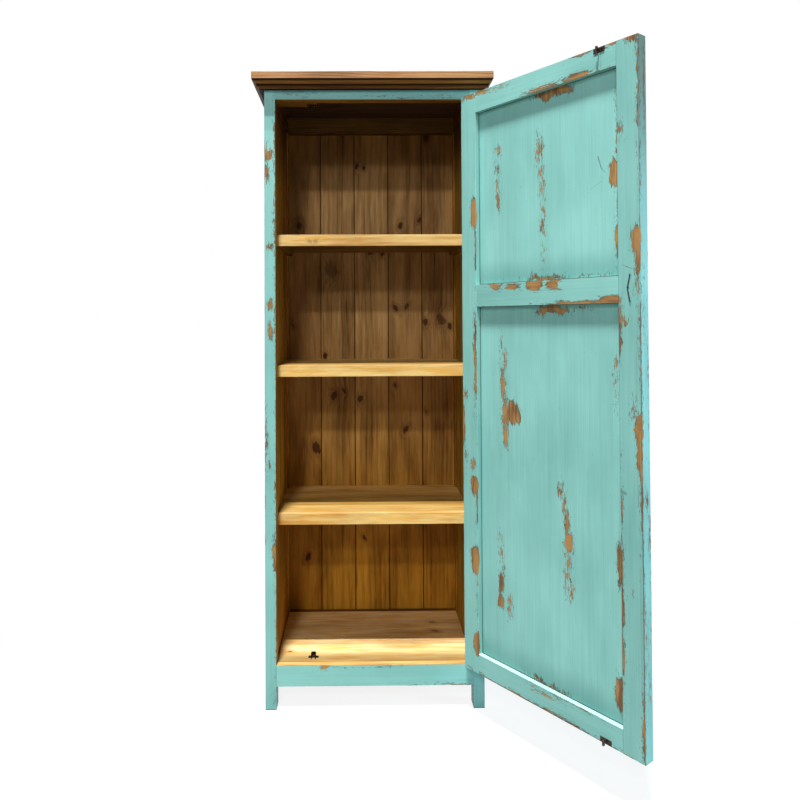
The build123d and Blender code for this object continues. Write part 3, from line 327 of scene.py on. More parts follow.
# the brush's hairs and strokes, and thinner and thicker paint
hairs = stretched_noise(tree, took["Place"], (460.0, 460.0, 5.0), 4.0, 0.65)
strokes = stretched_noise(tree, took["Place"], (85.0, 85.0, 2.4), 3.0, 0.55)
clouds = stretched_noise(tree, took["Place"], (8.0, 8.0, 3.5), 3.0)
depth = reckon(tree, "ADD", reckon(tree, "ADD", swing(tree, hairs, 1.0),
                                   swing(tree, strokes, 0.5)),
               swing(tree, clouds, 1.8))
paint = mixed(tree, reckon(tree, "ADD", depth, 0.45, clamp=True),
              took["Paint"], took["Deep Paint"])
# the ragged rim of what is rubbed through, with chips around it
broad = stretched_noise(tree, took["Place"], (58.0, 58.0, 22.0), 3.0, 0.6)
chips = stretched_noise(tree, took["Place"], (210.0, 210.0, 70.0), 4.0, 0.7)
ragged = reckon(tree, "ADD", swing(tree, broad, 9.0), swing(tree, chips, 11.0))
field = reckon(tree, "ADD", took["Worn"], reckon(
    tree, "ADD", ragged, swing(tree, took["Fine"], 5.0, 0.0)))
bare = smooth_step(tree, field, 0.0, 0.4)
halo = smooth_step(tree, field, -13.0, -1.0)
hatch = stretched_noise(tree, took["Place"], (430.0, 430.0, 70.0), 3.0, 0.7)
flecks = reckon(tree, "MULTIPLY", smooth_step(tree, reckon(
    tree, "MULTIPLY_ADD", halo, 0.145, hatch), 0.70, 0.75), 0.85)
rim = reckon(tree, "MULTIPLY", smooth_step(tree, field, -2.6, 0.0),
             smooth_step(tree, broad, 0.66, 0.44))
dark = reckon(tree, "MAXIMUM", reckon(tree, "MAXIMUM", rim, flecks), took["Grime And Shade"])
# the bare wood, browner just inside its rim
grain = stretched_noise(tree, took["Place"], (260.0, 260.0, 7.0), 4.0, 0.65)
patch = stretched_noise(tree, took["Place"], (32.0, 32.0, 9.0), 2.0)
inner_rim = reckon(tree, "MULTIPLY", smooth_step(tree, field, 1.8, 0.3), 0.45)
wood = mixed(tree, reckon(tree, "ADD", reckon(tree, "ADD", inner_rim, 0.36), reckon(
    tree, "ADD", swing(tree, grain, 2.6), swing(tree, patch, 3.6)), clamp=True),
    took["Bare Wood"], took["Brown Wood"])
coat = mixed(tree, dark, paint, took["Rim"])
tree.links.new(mixed(tree, bare, coat, wood), gives["Color"])
tree.links.new(reckon(tree, "ADD", reckon(tree, "MULTIPLY", hairs, 0.35), reckon(
    tree, "SUBTRACT", 1.0, reckon(tree, "MULTIPLY_ADD", dark, 0.3, bare))),
    gives["Height"])
tree.links.new(reckon(tree, "ADD", reckon(tree, "MULTIPLY_ADD", hairs, 0.22, 0.38),
                      reckon(tree, "MULTIPLY", bare, 0.16)), gives["Sheen Lost"])

# turns of a board's coordinates that lay its grain along Z
UPRIGHT = (0.0, 0.0, 0.0)
SIDEWAYS = (0.0, -math.pi / 2, 0.0)
FRONT_TO_BACK = (math.pi / 2, 0.0, 0.0)

INSIDE = {"Pale Wood": (0.490, 0.230, 0.021, 1), "Dark Wood": (0.135, 0.046, 0.003, 1),
          "Knot Wood": (0.020, 0.008, 0.003, 1)}
HONEY = {"Pale Wood": (0.85, 0.60, 0.230, 1), "Dark Wood": (0.42, 0.185, 0.035, 1),
         "Knot Wood": (0.16, 0.06, 0.02, 1)}
PAINT = {"Paint": (0.299, 0.676, 0.643, 1), "Deep Paint": (0.192, 0.484, 0.457, 1),
         "Rim": (0.085, 0.045, 0.022, 1), "Bare Wood": (0.440, 0.245, 0.086, 1),
         "Brown Wood": (0.155, 0.081, 0.036, 1)}
PAINT_SHINE, STAIN_SHINE = 0.3, 0.25
draw = random.Random(41)


def board_place(tree, turn, shift):
    """The object's own coordinates turned so that Z runs along the grain."""
    here = put(tree, "TexCoord").outputs["Object"]
    return put(tree, "Mapping", {"Vector": here, "Rotation": turn,
                                 "Location": shift}).outputs[0]


def stained_wood(tree, place, tones, knot_rise=0.0, knot_dark=0.0, ring_width=0.0065,
                 rings=0.5, stain=(0.94, 0.86, 0.74)):
    """A board's stain and grain, with its own heart line."""
    return place_group(tree, pine_grain, {
        "Place": place, "Pith Across": draw.uniform(-0.1, 0.5),
        "Pith Behind": draw.uniform(-0.09, -0.03), "Ring Width": ring_width,
        "Ring Strength": rings, "Knot Rise": knot_rise, "Knot Dark": knot_dark,
        "Warm Stain": (*stain, 1), **tones})


def finish_wood(tree, colour, height, roughness, specular):
    """The board's shader, with its grain and paint standing up a little."""
    bump = put(tree, "Bump", {"Height": height, "Distance": 0.6 * MM, "Strength": 0.6})
    shader = put(tree, "BsdfPrincipled", {
        "Base Color": colour, "Roughness": roughness, "Normal": bump.outputs[0],
        "Specular IOR Level": specular})
    put(tree, "OutputMaterial", {"Surface": shader.outputs[0]})


# how far a rubbed spot's rim is pushed about, in metres
SHAKE = Vector((0.026, 0.0, 0.060))


def shaken(tree, place):
    """The place pushed about, so that what is drawn there gets an uneven rim."""
    push = stretched_noise(tree, place, (30.0, 30.0, 11.0), 3.0, 0.6, output=1)
    pushed = put(tree, "VectorMath", {0: push, 1: SHAKE, 2: place},
                 operation="MULTIPLY_ADD").outputs[0]
    return put(tree, "VectorMath", {0: pushed, 1: SHAKE / 2},
               operation="SUBTRACT").outputs[0]


# how deep a fully flaky spot is speckled with paint, in mm of its rim
FLAKE = 48.0


def wear(tree, place, low, high, reach, spread, spots, sideways):
    """Rubbing along the arrises of a box, then spots on its faces, in mm: {(axis,
    face): [(across, along, half across, half along, flakiness)]}, where sideways
    means that across runs along the grain."""
    fine = swing(tree, stretched_noise(tree, place, (330.0, 330.0, 75.0), 4.0, 0.75), 1.0)
    worn = place_group(tree, rubbed_edge, {
        "Place": place, "Low Corner": Vector(low) * MM, "High Corner": Vector(high) * MM,
        "Reach": reach, "Spread": spread, "Worn": -50.0})["Worn"]
    for (axis, face), listed in spots.items():
        faced = place
        if axis == 0:
            split = put(tree, "SeparateXYZ", {0: place}).outputs
            faced = put(tree, "CombineXYZ", {0: split[1], 1: split[0],
                                             2: split[2]}).outputs[0]
        faced = shaken(tree, faced)
        for across, along, half_across, half_along, flaky in listed:
            if sideways:
                across, along, half_across, half_along = (
                    -along, across, half_along, half_across)
            worn = place_group(tree, rubbed_spot, {
                "Place": faced, "Across": across * MM, "Along": along * MM,
                "Face": face * MM, "Half Across": half_across * MM,
                "Half Along": half_along * MM, "Flaky": FLAKE * flaky, "Fine": fine,
                "Worn": worn})["Worn"]
    return worn, fine


def dirt_and_shade_bands(tree, where, fine, bands):
    """Darkening where a coordinate lies in a band, (axis, low, high) in mm: dirt and dark
    joints, or painted shade in corners and under things.
    """
    there = put(tree, "SeparateXYZ", {0: where}).outputs
    dirt_and_shade = 0.0
    for axis, low, high in bands:
        inside = reckon(tree, "MULTIPLY", 1 / MM, reckon(
            tree, "MINIMUM", reckon(tree, "SUBTRACT", there[axis], low * MM),
            reckon(tree, "SUBTRACT", high * MM, there[axis])))
        dirt_and_shade = reckon(tree, "MAXIMUM", dirt_and_shade, smooth_step(
            tree, reckon(tree, "MULTIPLY_ADD", fine, 1.2, inside), -0.7, 0.5))
    return dirt_and_shade


def tinted(tree, colour, where, tints):
    """Tints that grow along one axis or two: (colour, (axis, none from, full at),
    ...), in mm."""
    there = put(tree, "SeparateXYZ", {0: where}).outputs
    for tint, *growths in tints:
        amount = 1.0
        for axis, start, full in growths:
            amount = reckon(tree, "MULTIPLY", amount, smooth_step(
                tree, there[axis], start * MM, full * MM))
        colour = mixed(tree, amount, colour, (*tint, 1), "MULTIPLY")
    return colour


def toned(tones, level, warmth=1.0):
    """A stain's colours, lighter or darker, and redder above a warmth of 1."""
    return {name: (red * level * warmth, green * level, blue * level / warmth, 1)
            for name, (red, green, blue, _) in tones.items()}


def unpainted_part(tree, place, here, parts, within):
    """One where the wood is left unpainted, with an uneven rim. Parts are (axis, side,
    limit, lowest, highest) in mm, and lie within the limit of (axis, side, limit)."""
    drip = swing(tree, stretched_noise(tree, place, (90.0, 90.0, 25.0)), 0.0016)
    inside = -1.0
    for axis, side, limit, *heights in parts:
        past = reckon(tree, "MULTIPLY", reckon(
            tree, "SUBTRACT", here[axis], limit * MM), float(side))
        if heights:
            lowest, highest = heights
            past = reckon(tree, "MINIMUM", past, reckon(
                tree, "MINIMUM", reckon(tree, "SUBTRACT", here[2], lowest * MM),
                reckon(tree, "SUBTRACT", highest * MM, here[2])))
        inside = reckon(tree, "MAXIMUM", inside, past)
    if within:
        axis, side, limit = within
        inside = reckon(tree, "MINIMUM", inside, reckon(tree, "MULTIPLY", reckon(
            tree, "SUBTRACT", here[axis], limit * MM), float(side)))
    return smooth_step(tree, reckon(tree, "ADD", inside, drip), -0.0002, 0.0004)


def painted_wood(name, turn, low, high, reach, spread, spots, scores=(), scored_face=0,
                 unpainted=(), under=INSIDE, shift=(0.0, 0.0, 0.0), sideways=False,
                 grime_and_shade=(), level=1.0, seams=(), within=None, tints=(), under_tints=()):
    """Paint over pine, rubbed and scored, and stained where it is unpainted, with dark
    seams there. Scores lists lines as (from across, along, to across, along, half
    width, depth) in mm."""
    material, tree = new_material(name)
    place = board_place(tree, turn, shift)
    worn, fine = wear(tree, place, low, high, reach, spread, spots, sideways)
    dirt_and_shade = reckon(tree, "MULTIPLY", dirt_and_shade_bands(tree, place, fine, grime_and_shade), 0.8) if (
        grime_and_shade) else 0.0
    for first_across, first_along, last_across, last_along, width, depth in scores:
        first, last = (
            (-along, scored_face, across) if sideways else (across, scored_face, along)
            for across, along in ((first_across, first_along), (last_across, last_along)))
        dirt_and_shade = place_group(tree, scored_line, {
            "Place": place, "From": Vector(first) * MM, "To": Vector(last) * MM,
            "Half Width": width * MM, "Depth": depth, "Fine": fine,
            "Lined": dirt_and_shade})["Lined"]
    coat = place_group(tree, turquoise_coat, {
        "Place": place, **toned(PAINT, level), "Worn": worn, "Fine": fine,
        "Grime And Shade": dirt_and_shade})
    colour = tinted(tree, coat["Color"], place, tints)
    height, rough = coat["Height"], coat["Sheen Lost"]
    if unpainted:
        stain = stained_wood(tree, place, under)
        here = put(tree, "SeparateXYZ", {0: put(tree, "TexCoord").outputs["Object"]})
        bare = unpainted_part(tree, place, here.outputs, unpainted, within)
        colour = mixed(tree, bare, colour, tinted(
            tree, stain["Color"], put(tree, "TexCoord").outputs["Object"], under_tints))
        if seams:
            colour = mixed(tree, reckon(tree, "MULTIPLY", 0.9, dirt_and_shade_bands(
                tree, put(tree, "TexCoord").outputs["Object"], fine, seams)),
                colour, INSIDE["Knot Wood"])
        height = reckon(tree, "MULTIPLY_ADD", bare, -0.5, height)
        rough = reckon(tree, "MULTIPLY_ADD", bare, 0.05, rough)
    finish_wood(tree, colour, height, rough, PAINT_SHINE)
    return material


def scattered(count, across, along):
    """Spots thrown over a stretch of a face, few and long, in mm."""
    return [(draw.uniform(*across), draw.uniform(*along), draw.uniform(4, 13),
             draw.uniform(12, 60), draw.choice((0.1, 0.5, 1.0))) for _ in range(count)]


def dress(material, *names):
    """Gives pieces one material all over."""
    for name in names:
        for slot in nodes[name].material_slots:
            slot.material = material


def box_mm(node):
    """A piece's lowest and highest corners at rest, in mm."""
    return [[round(side / MM, 1) for side in corner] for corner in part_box(node)]


# in mm: a place past every side of the carcass, the faces of the posts, and the
# opening between the apron and the rail
FAR = 900
(LEFT_FACE, FRONT_FACE, _), (LEFT_INNER, POST_BACK, _) = box_mm("front_post_left")
(RIGHT_INNER, _, _), (RIGHT_FACE, _, _) = box_mm("front_post_right")
APRON_TOP = box_mm("apron_front")[1][2]
TOP_RAIL_LOW = box_mm("top_rail_front")[0][2]
CROWN_FOOT = box_mm("crown_moulding_front")[0][2]
SIDES = {"left": (LEFT_FACE, LEFT_INNER, 1), "right": (RIGHT_FACE, RIGHT_INNER, -1)}

# the stain laps round the arrises, and goes so far across a post
ARRIS_LAP, BACK_LAP, ACROSS_POST = 0.8, 1.5, 12
# painted shade: the stain inside is darker towards its top, under the top of the cabinet
SHADE_ABOVE = [((0.30, 0.17, 0.22), (2, 1480, 1750))]
FOOT_DIRT = [(2, -FAR, 2.0)]
front_post_spots = {
    "left": [(-3, 1593, 11, 16, 0.3), (-12, 1600, 6, 24, 0.3), (-10, 1540, 7, 22, 0.3),
             (15.5, 1655, 2.5, 45, 0.1), (15.5, 1480, 1.6, 120, 0.3),
             (-1, 1155, 10, 14, 0.3), (2, 1085, 8, 24, 0.3), (-15, 760, 3, 50, 0.3),
             (15, 440, 6, 60, 0.2), (15.5, 800, 1.4, 300, 0.4), (0, 1330, 14, 10, 1.0),
             (-2, 700, 8, 14, 1.0)],
    "right": [(604, 1500, 6, 30, 0.2), (600, 910, 8, 24, 0.2), (610, 470, 5, 60, 0.3)]}
for side, rubbed, spread, level in (("left", 1.6, -0.02, 0.87), ("right", 2.0, 0.0, 0.92)):
    face, inner, facing = SIDES[side]
    low, high = sorted((face, facing * FAR))
    dress(painted_wood(
        f"{side}_post_paint", UPRIGHT, (low, FRONT_FACE, 0), (high, POST_BACK, CROWN_FOOT),
        rubbed, spread, {(1, FRONT_FACE): front_post_spots[side],
                         (0, face): scattered(8, (-20, 20), (60, 1750))},
        unpainted=[(0, facing, inner - facing * ARRIS_LAP, APRON_TOP, TOP_RAIL_LOW),
                   (1, 1, POST_BACK - BACK_LAP)],
        within=(0, facing, inner - facing * ACROSS_POST), under_tints=SHADE_ABOVE,
        grime_and_shade=FOOT_DIRT, level=level), f"front_post_{side}")


# ------------------------------------------------- the front rail and apron
# The top rail and the apron are tenoned between the front posts, flush with
# them. Both are painted in front and stained behind, and the stain goes on
# under the rail and over the apron.
RAIL_LAP = 1.1
top_rail_back = box_mm("top_rail_front")[1][1]
# painted shade: the rail's paint is darker for the crown's shadow, and its stain underneath
# is darker for the shade inside
dress(painted_wood(
    "top_rail_paint", SIDEWAYS, (-FAR, FRONT_FACE, -FAR),
    (-TOP_RAIL_LOW, top_rail_back, FAR), 0.6, -0.03,
    {(1, FRONT_FACE): [(78, 1776, 20, 1.2, 0.6), (430, 1766, 40, 1.0, 0.8),
                       (520, 1764, 24, 1.2, 0.9)]},
    unpainted=[(2, -1, TOP_RAIL_LOW + 0.9), (1, 1, top_rail_back - RAIL_LAP)],
    under=toned(INSIDE, 0.60, 1.1), sideways=True, level=0.67,
    grime_and_shade=[(0, -FAR, 1.0 - CROWN_FOOT), (0, -1.9 - TOP_RAIL_LOW, FAR)]), "top_rail_front")
(_, _, apron_low), (_, apron_back, _) = box_mm("apron_front")
dress(painted_wood(
    "apron_paint", SIDEWAYS, (-APRON_TOP, FRONT_FACE, -FAR), (-apron_low, apron_back, FAR),
    0.6, -0.03,
    {(1, FRONT_FACE): [(158, 121, 13, 9, 0.15), (238, 118, 16, 1.2, 0.7),
                       (320, 121, 10, 1.2, 0.6), (545, 66, 60, 2.5, 0.3)]},
    unpainted=[(1, 1, apron_back - RAIL_LAP), (2, 1, APRON_TOP - RAIL_LAP)],
    under=toned(HONEY, 0.72, 1.06), sideways=True, level=0.97), "apron_front")


# --------------------------------------------------------- the sides
# Three tongued boards fill each side between a rail and an apron, which are
# tenoned into the posts. Outside they are painted, and inside stained.
ACROSS_RAIL, SET_BACK, PAINT_DEPTH = 9, 16, 4
BOARD_WIDTH, JOINT_LIP = 104, 1.2
# painted light: the right side is stained lighter and cooler inside than the left, where
# more light falls
side_stains_and_light = {"left": toned(INSIDE, 1.05), "right": toned(INSIDE, 1.4, 0.74)}
for side, (face, inner, facing) in SIDES.items():
    low, high = box_mm(f"rear_post_{side}")
    dress(painted_wood(
        f"rear_{side}_post_paint", UPRIGHT, low, (*high[:2], CROWN_FOOT), 3.0, 0.03,
        {(0, face): scattered(7, (340, 378), (40, 1750))},
        unpainted=[(0, facing, inner - facing * ARRIS_LAP), (1, -1, low[1] + BACK_LAP)],
        within=(0, facing, inner - facing * ACROSS_POST), grime_and_shade=FOOT_DIRT),
        f"rear_post_{side}")
    for rail in ("side_apron", "side_top_rail"):
        (_, _, low), (_, _, high) = box_mm(f"{rail}_{side}")
        high = min(high, CROWN_FOOT)
        dress(painted_wood(
            f"{rail}_{side}_paint", FRONT_TO_BACK, (-FAR, -high, -FAR), (FAR, -low, FAR),
            2.4, 0.0, {(0, face): scattered(3, (30, 330), (low + 6, high - 4))},
            unpainted=[(0, facing, inner - facing * ACROSS_RAIL)],
            under_tints=SHADE_ABOVE, sideways=True), f"{rail}_{side}")
    board_face = face + facing * SET_BACK
    for number, front_edge, rear_edge in ((1, 24, 125.4), (2, 128, 236.6), (3, 239, 334.6)):
        spots = scattered(9, (front_edge, front_edge + BOARD_WIDTH), (150, 1730))
        dress(painted_wood(
            f"side_board_{side}_{number}_paint", UPRIGHT, (-FAR, -FAR, -FAR),
            (FAR, FAR, 3 * FAR), 3.0, 0.0, {(0, board_face): spots},
            unpainted=[(0, facing, board_face + facing * PAINT_DEPTH)],
            under=side_stains_and_light[side], under_tints=SHADE_ABOVE,
            seams=[(1, -FAR, front_edge + JOINT_LIP), (1, rear_edge, FAR)]),
            f"side_board_{side}_{number}")


# --------------------------------------------------------- the back
# Five tongued boards are nailed to a rail and an apron across the back. All
# of it is brown stained pine with its knots and its upright grain.
# a knot lifts the rings round itself into ovals, with a dark heart
pine_knot, took, gives = shader_group(
    "pine_knot",
    [("Place", "Vector"), ("Across", "Float"), ("Along", "Float"), ("Radius", "Float"),
     ("Darkness", "Float"), ("Rise", "Float"), ("Dark", "Float")],
    [("Rise", "Float"), ("Dark", "Float")])
tree = pine_knot
split = put(tree, "SeparateXYZ", {0: took["Place"]})
along = reckon(tree, "DIVIDE", reckon(tree, "SUBTRACT", split.outputs[2],
                                      took["Along"]), took["Radius"])
lean = put(tree, "TexWhiteNoise", {"W": took["Along"]}, noise_dimensions="1D").outputs[0]
aside = reckon(tree, "MULTIPLY_ADD", along, swing(tree, lean, 0.9), reckon(
    tree, "DIVIDE", reckon(tree, "SUBTRACT", split.outputs[0], took["Across"]),
    took["Radius"]))
ragged = stretched_noise(tree, took["Place"], (150.0, 150.0, 80.0), 3.0)
span = reckon(tree, "ADD", reckon(
    tree, "SQRT", reckon(tree, "ADD", reckon(tree, "MULTIPLY", aside, aside),
                         reckon(tree, "MULTIPLY", reckon(tree, "MULTIPLY", along, along),
                                0.45))), swing(tree, ragged, 1.5))
lift = reckon(tree, "POWER", 0.72, reckon(tree, "MULTIPLY", span, span))
tree.links.new(reckon(tree, "MULTIPLY_ADD", lift, 2.4, took["Rise"]), gives["Rise"])
heart = reckon(tree, "MULTIPLY", reckon(
    tree, "MULTIPLY_ADD", smooth_step(tree, span, 3.0, 0.8), 0.35, reckon(
        tree, "MULTIPLY", smooth_step(tree, span, 1.15, 0.8), 0.65)), took["Darkness"])
tree.links.new(reckon(tree, "MAXIMUM", took["Dark"], heart), gives["Dark"])


def knotted(tree, place, knots):
    """How knots lift and darken a board: (across, along, radius, darkness), in mm."""
    rise, dark = 0.0, 0.0
    for across, along, radius, darkness in knots:
        knot = place_group(tree, pine_knot, {
            "Place": place, "Across": across * MM, "Along": along * MM,
            "Radius": radius * MM, "Darkness": darkness, "Rise": rise, "Dark": dark})
        rise, dark = knot["Rise"], knot["Dark"]
    return rise, dark


BOARD_STOCK = 9.0


def stained_board(name, turn, tones, knots=(), grime_and_shade=(), tints=(), specular=STAIN_SHINE,
                  **grain):
    """Stained wood with knots, dark bands of dirt or painted shade, and tints, some of
    them painted light and shade. A board without knots is cut from its own place along the
    stock."""
    material, tree = new_material(name)
    start = 0.0 if knots else draw.uniform(0.0, BOARD_STOCK)
    place = board_place(tree, turn, (0.0, 0.0, start))
    wood = stained_wood(tree, place, tones, *knotted(tree, place, knots), **grain)
    here = put(tree, "TexCoord").outputs["Object"]
    colour, rough = tinted(tree, wood["Color"], here, tints), wood["Sheen Lost"]
    if grime_and_shade:
        fine = swing(tree, stretched_noise(tree, place, (90.0, 90.0, 12.0)), 1.0)
        dirt_and_shade = dirt_and_shade_bands(tree, here, fine, grime_and_shade)
        colour = mixed(tree, reckon(tree, "MULTIPLY", dirt_and_shade, 0.88), colour,
                       tones["Knot Wood"])
        rough = reckon(tree, "MAXIMUM", rough, reckon(tree, "MULTIPLY", dirt_and_shade, 0.9))
    finish_wood(tree, colour, wood["Height"], rough, specular)
    return material


BACK = {"Pale Wood": (0.58, 0.355, 0.140, 1), "Dark Wood": (0.125, 0.053, 0.010, 1),
        "Knot Wood": (0.055, 0.014, 0.002, 1)}
DULL_SHINE = 0.12
# each board's knots as (across, height, radius, darkness), its level and its warmth
back_boards = (
    ([(52, 1446, 9, 0.9), (78, 305, 9, 1.0), (107, 679, 14, 0.9),
      (28, 1100, 6, 0.5)], 0.80, 1.08),
    ([(161, 1291, 20, 0.6), (139, 994, 8, 1.0), (171, 858, 10, 0.9),
      (205, 874, 6, 0.9)], 0.98, 1.0),
    ([(251, 1650, 7, 1.0), (276, 1646, 6, 1.0), (295, 1355, 9, 0.9),
      (338, 1350, 7, 0.9), (260, 846, 8, 0.9), (271, 370, 6, 0.9)], 1.10, 0.98),
    ([(401, 1443, 8, 1.0), (467, 1462, 7, 0.9), (385, 1157, 8, 0.9),
      (421, 1163, 7, 0.8), (381, 892, 5, 0.8), (417, 741, 9, 0.9)], 0.92, 1.02),
    ([(487, 1109, 8, 0.9), (542, 1118, 14, 0.8), (570, 1095, 8, 0.9),
      (492, 1750, 10, 0.9), (486, 800, 5, 0.6)], 0.84, 1.04))
board_joints, JOINT_DIRT = (12, 126.9, 243.2, 359.4, 475.7, 585), 0.4
# more amber towards the bottom, and painted shade that darkens the top of the upper bay
back_amber_and_shade = [((1.0, 0.80, 0.20), (2, 1180, 250)),
              ((0.62, 0.50, 0.34), (2, 1480, TOP_RAIL_LOW))]
for number, (knots, level, warmth) in enumerate(back_boards, 1):
    left_joint, right_joint = board_joints[number - 1:number + 1]
    dress(stained_board(
        f"back_board_{number}_stain", UPRIGHT, toned(BACK, level, warmth), knots,
        ring_width=0.0095, rings=0.30, specular=DULL_SHINE, tints=back_amber_and_shade,
        grime_and_shade=[(0, -FAR, left_joint + JOINT_DIRT), (0, right_joint - JOINT_DIRT, FAR)]),
        f"back_board_{number}")
# painted shade: the back's rails are stained much darker, for the shade at the top inside
dress(stained_board("back_rail_stain_and_shade", SIDEWAYS, toned(INSIDE, 0.32)),
      "apron_back", "top_rail_back")


# --------------------------------------------------------- deck and shelves
# The deck and the shelves are waxed honey pine boards, planed smooth, each
# shelf with a thicker lip glued to its front, on stained cleats.
FLAT = (math.pi / 2, -math.pi / 2, 0.0)
ORANGE = (0.93, 0.77, 0.50)
SHELF_TOP = {"Pale Wood": (0.88, 0.650, 0.335, 1), "Dark Wood": (0.42, 0.215, 0.060, 1),
             "Knot Wood": (0.060, 0.024, 0.007, 1)}
planed = {"ring_width": 0.011, "rings": 0.22, "stain": ORANGE}
deck_knots = [(-64, 47, 4, 0.8), (-260, 492, 7, 0.6), (-195, 495, 8, 0.6)]
# painted shade: the deck is darker towards its front edge, where the lamps light it
dress(stained_board("deck_wax", FLAT, SHELF_TOP, deck_knots, **planed,
                    tints=[((0.42, 0.40, 0.31), (1, 72, 28))]), "deck")
# each shelf, and its lip's tone, darker higher up as painted shade; its top gets painted
# shade, darker towards the front where lamps light it and warmer behind, where the shelf
# above shades it
for level, tone, top_shade in (("low", 1.0, (0.51, 0.47, 0.31)),
                             ("middle", 0.92, (0.42, 0.39, 0.26)),
                             ("high", 0.86, (0.42, 0.39, 0.26))):
    top = box_mm(f"{level}_shelf")[1][2]
    tints = [(top_shade, (1, 330, 110)), ((1.0, 0.96, 0.72), (1, 100, 150))]
    lip_knots = []
    if level == "high":
        # painted shade under the high shelf
        tints.append(((0.30, 0.22, 0.12), (2, top - 17, top - 19.5)))
        lip_knots = [(20 - top, along, 5, 0.45) for along in (112, 128)]
    dress(stained_board(f"{level}_shelf_wax", FLAT, SHELF_TOP, **planed, tints=tints),
          f"{level}_shelf")
    # painted shade: each lip's top arris is darkened to dull its highlight, and a dark band
    # runs along its foot
    dress(stained_board(f"{level}_lip_wax", SIDEWAYS, toned(HONEY, tone), lip_knots,
                        ring_width=0.020, rings=0.12, stain=ORANGE,
                        tints=[((0.68, 0.65, 0.68), (2, top - 2.6, top - 0.6))],
                        grime_and_shade=[(2, top - 39, top - 33.4)]), f"{level}_shelf_lip")
dress(stained_board("cleat_stain", FRONT_TO_BACK, toned(INSIDE, 0.5)), "shelf_cleats",
      "deck_cleats")
dress(stained_board("catch_block_stain", SIDEWAYS, toned(INSIDE, 0.6)), "catch_block")


# --------------------------------------------------------- the crown
# A moulding mitred round the front and sides, under a board that stands past
# it, nailed down through its top. Both are stained a warm brown.
CROWN = {"Pale Wood": (0.275, 0.118, 0.022, 1), "Dark Wood": (0.085, 0.030, 0.004, 1),
         "Knot Wood": (0.012, 0.005, 0.002, 1)}
TOP = {"Pale Wood": (0.44, 0.228, 0.092, 1), "Dark Wood": (0.165, 0.068, 0.023, 1),
       "Knot Wood": (0.020, 0.008, 0.003, 1)}
SIDE_SHINE = 0.6
# painted shade in the moulding's quirks and along its foot, and a painted shade over its
# lower part
quirk_shade = [(2, CROWN_FOOT + low, CROWN_FOOT + high)
          for low, high in ((-85, 0.6), (6.6, 12.0), (19.8, 27))]
shaded_foot = [((0.60, 0.48, 0.32), (2, CROWN_FOOT + 16, CROWN_FOOT + 7))]
dress(stained_board("moulding_stain", SIDEWAYS, CROWN, grime_and_shade=quirk_shade, specular=DULL_SHINE,
                    tints=shaded_foot), "crown_moulding_front")
dress(stained_board("side_moulding_stain", FRONT_TO_BACK, CROWN, grime_and_shade=quirk_shade,
                    specular=SIDE_SHINE, tints=shaded_foot),
      "crown_moulding_left", "crown_moulding_right")
top_board_low = box_mm("top_board")[0][2]
# painted shade on the top board's underside
dress(stained_board("top_board_stain", SIDEWAYS, TOP, ring_width=0.009,
                    grime_and_shade=[(2, -FAR, top_board_low + 1.2)]), "top_board")


# --------------------------------------------------------- the door
# Two stiles and three rails, tenoned and glued, hold two solid panels in
# grooves. It is painted all over and rubbed through along its edges.
DOOR_WIDTH, STILE_WIDTH, INNER_FACE, PANEL_FACE = 560, 56, -31, -16.7
(_, _, DOOR_LOW), (_, _, DOOR_HIGH) = box_mm("door_stile_hinge")
HINGE_EDGE = Vector((577.755, -30.868, 0.0)) * MM
DOOR_TURN = math.radians(53.8)
# the door's own place: across from its hinge edge, out from its outer face, up
door_upright = (0.0, 0.0, DOOR_TURN)
door_shift = -(Matrix.Rotation(DOOR_TURN, 3, "Z") @ HINGE_EDGE)
sideways = Matrix.Rotation(SIDEWAYS[1], 3, "Y")
door_sideways = tuple((sideways @ Matrix.Rotation(DOOR_TURN, 3, "Z")).to_euler("XYZ"))
sideways_shift = sideways @ door_shift

hinge_stile_spots = [
    (56, 1415, 19, 42, 0.05), (55, 1325, 6, 70, 0.1), (52, 1018, 5, 100, 0.1),
    (53, 922, 8, 20, 0.3), (11, 902, 9, 15, 0.9), (0, 828, 6, 62, 0.1),
    (10, 730, 9, 20, 1.0), (40, 712, 9, 18, 0.9), (50, 653, 20, 27, 0.1),
    (56, 600, 4, 40, 0.1), (54, 444, 26, 40, 0.05), (56, 345, 4, 45, 0.1),
    (54, 218, 18, 34, 0.1), (30, 1752, 30, 8, 0.3), (34, 133, 20, 3, 0.2)]
dress(painted_wood(
    "hinge_stile_paint", door_upright, (0, INNER_FACE, DOOR_LOW), (FAR, 0, DOOR_HIGH),
    2.0, 0.0, {(1, INNER_FACE): hinge_stile_spots,
               (1, 0): scattered(9, (4, 52), (160, 1730))},
    shift=door_shift, level=0.95), "door_stile_hinge")

free_stile_spots = [
    (532, 1754, 44, 11, 0.35), (559, 1650, 2.6, 100, 0.2), (512, 1547, 8, 16, 0.9),
    (560, 1295, 22, 30, 0.3), (560, 1250, 12, 40, 0.3), (503, 1110, 10, 30, 0.4),
    (517, 1104, 14, 10, 1.2), (505, 1064, 5, 34, 0.3), (539, 914, 7, 19, 1.4),
    (560, 872, 16, 34, 0.3), (560, 812, 12, 50, 0.3), (504, 562, 6, 60, 0.2),
    (504, 480, 6, 40, 0.2), (504, 385, 5, 90, 0.2), (560, 722, 6, 90, 0.3),
    (534, 496, 6, 9, 1.4), (560, 213, 7, 80, 0.4), (504, 667, 2.5, 50, 0.2),
    (504, 1158, 6, 9, 0.4), (553, 1180, 5, 28, 1.4), (560, 1080, 4, 90, 1.0)]
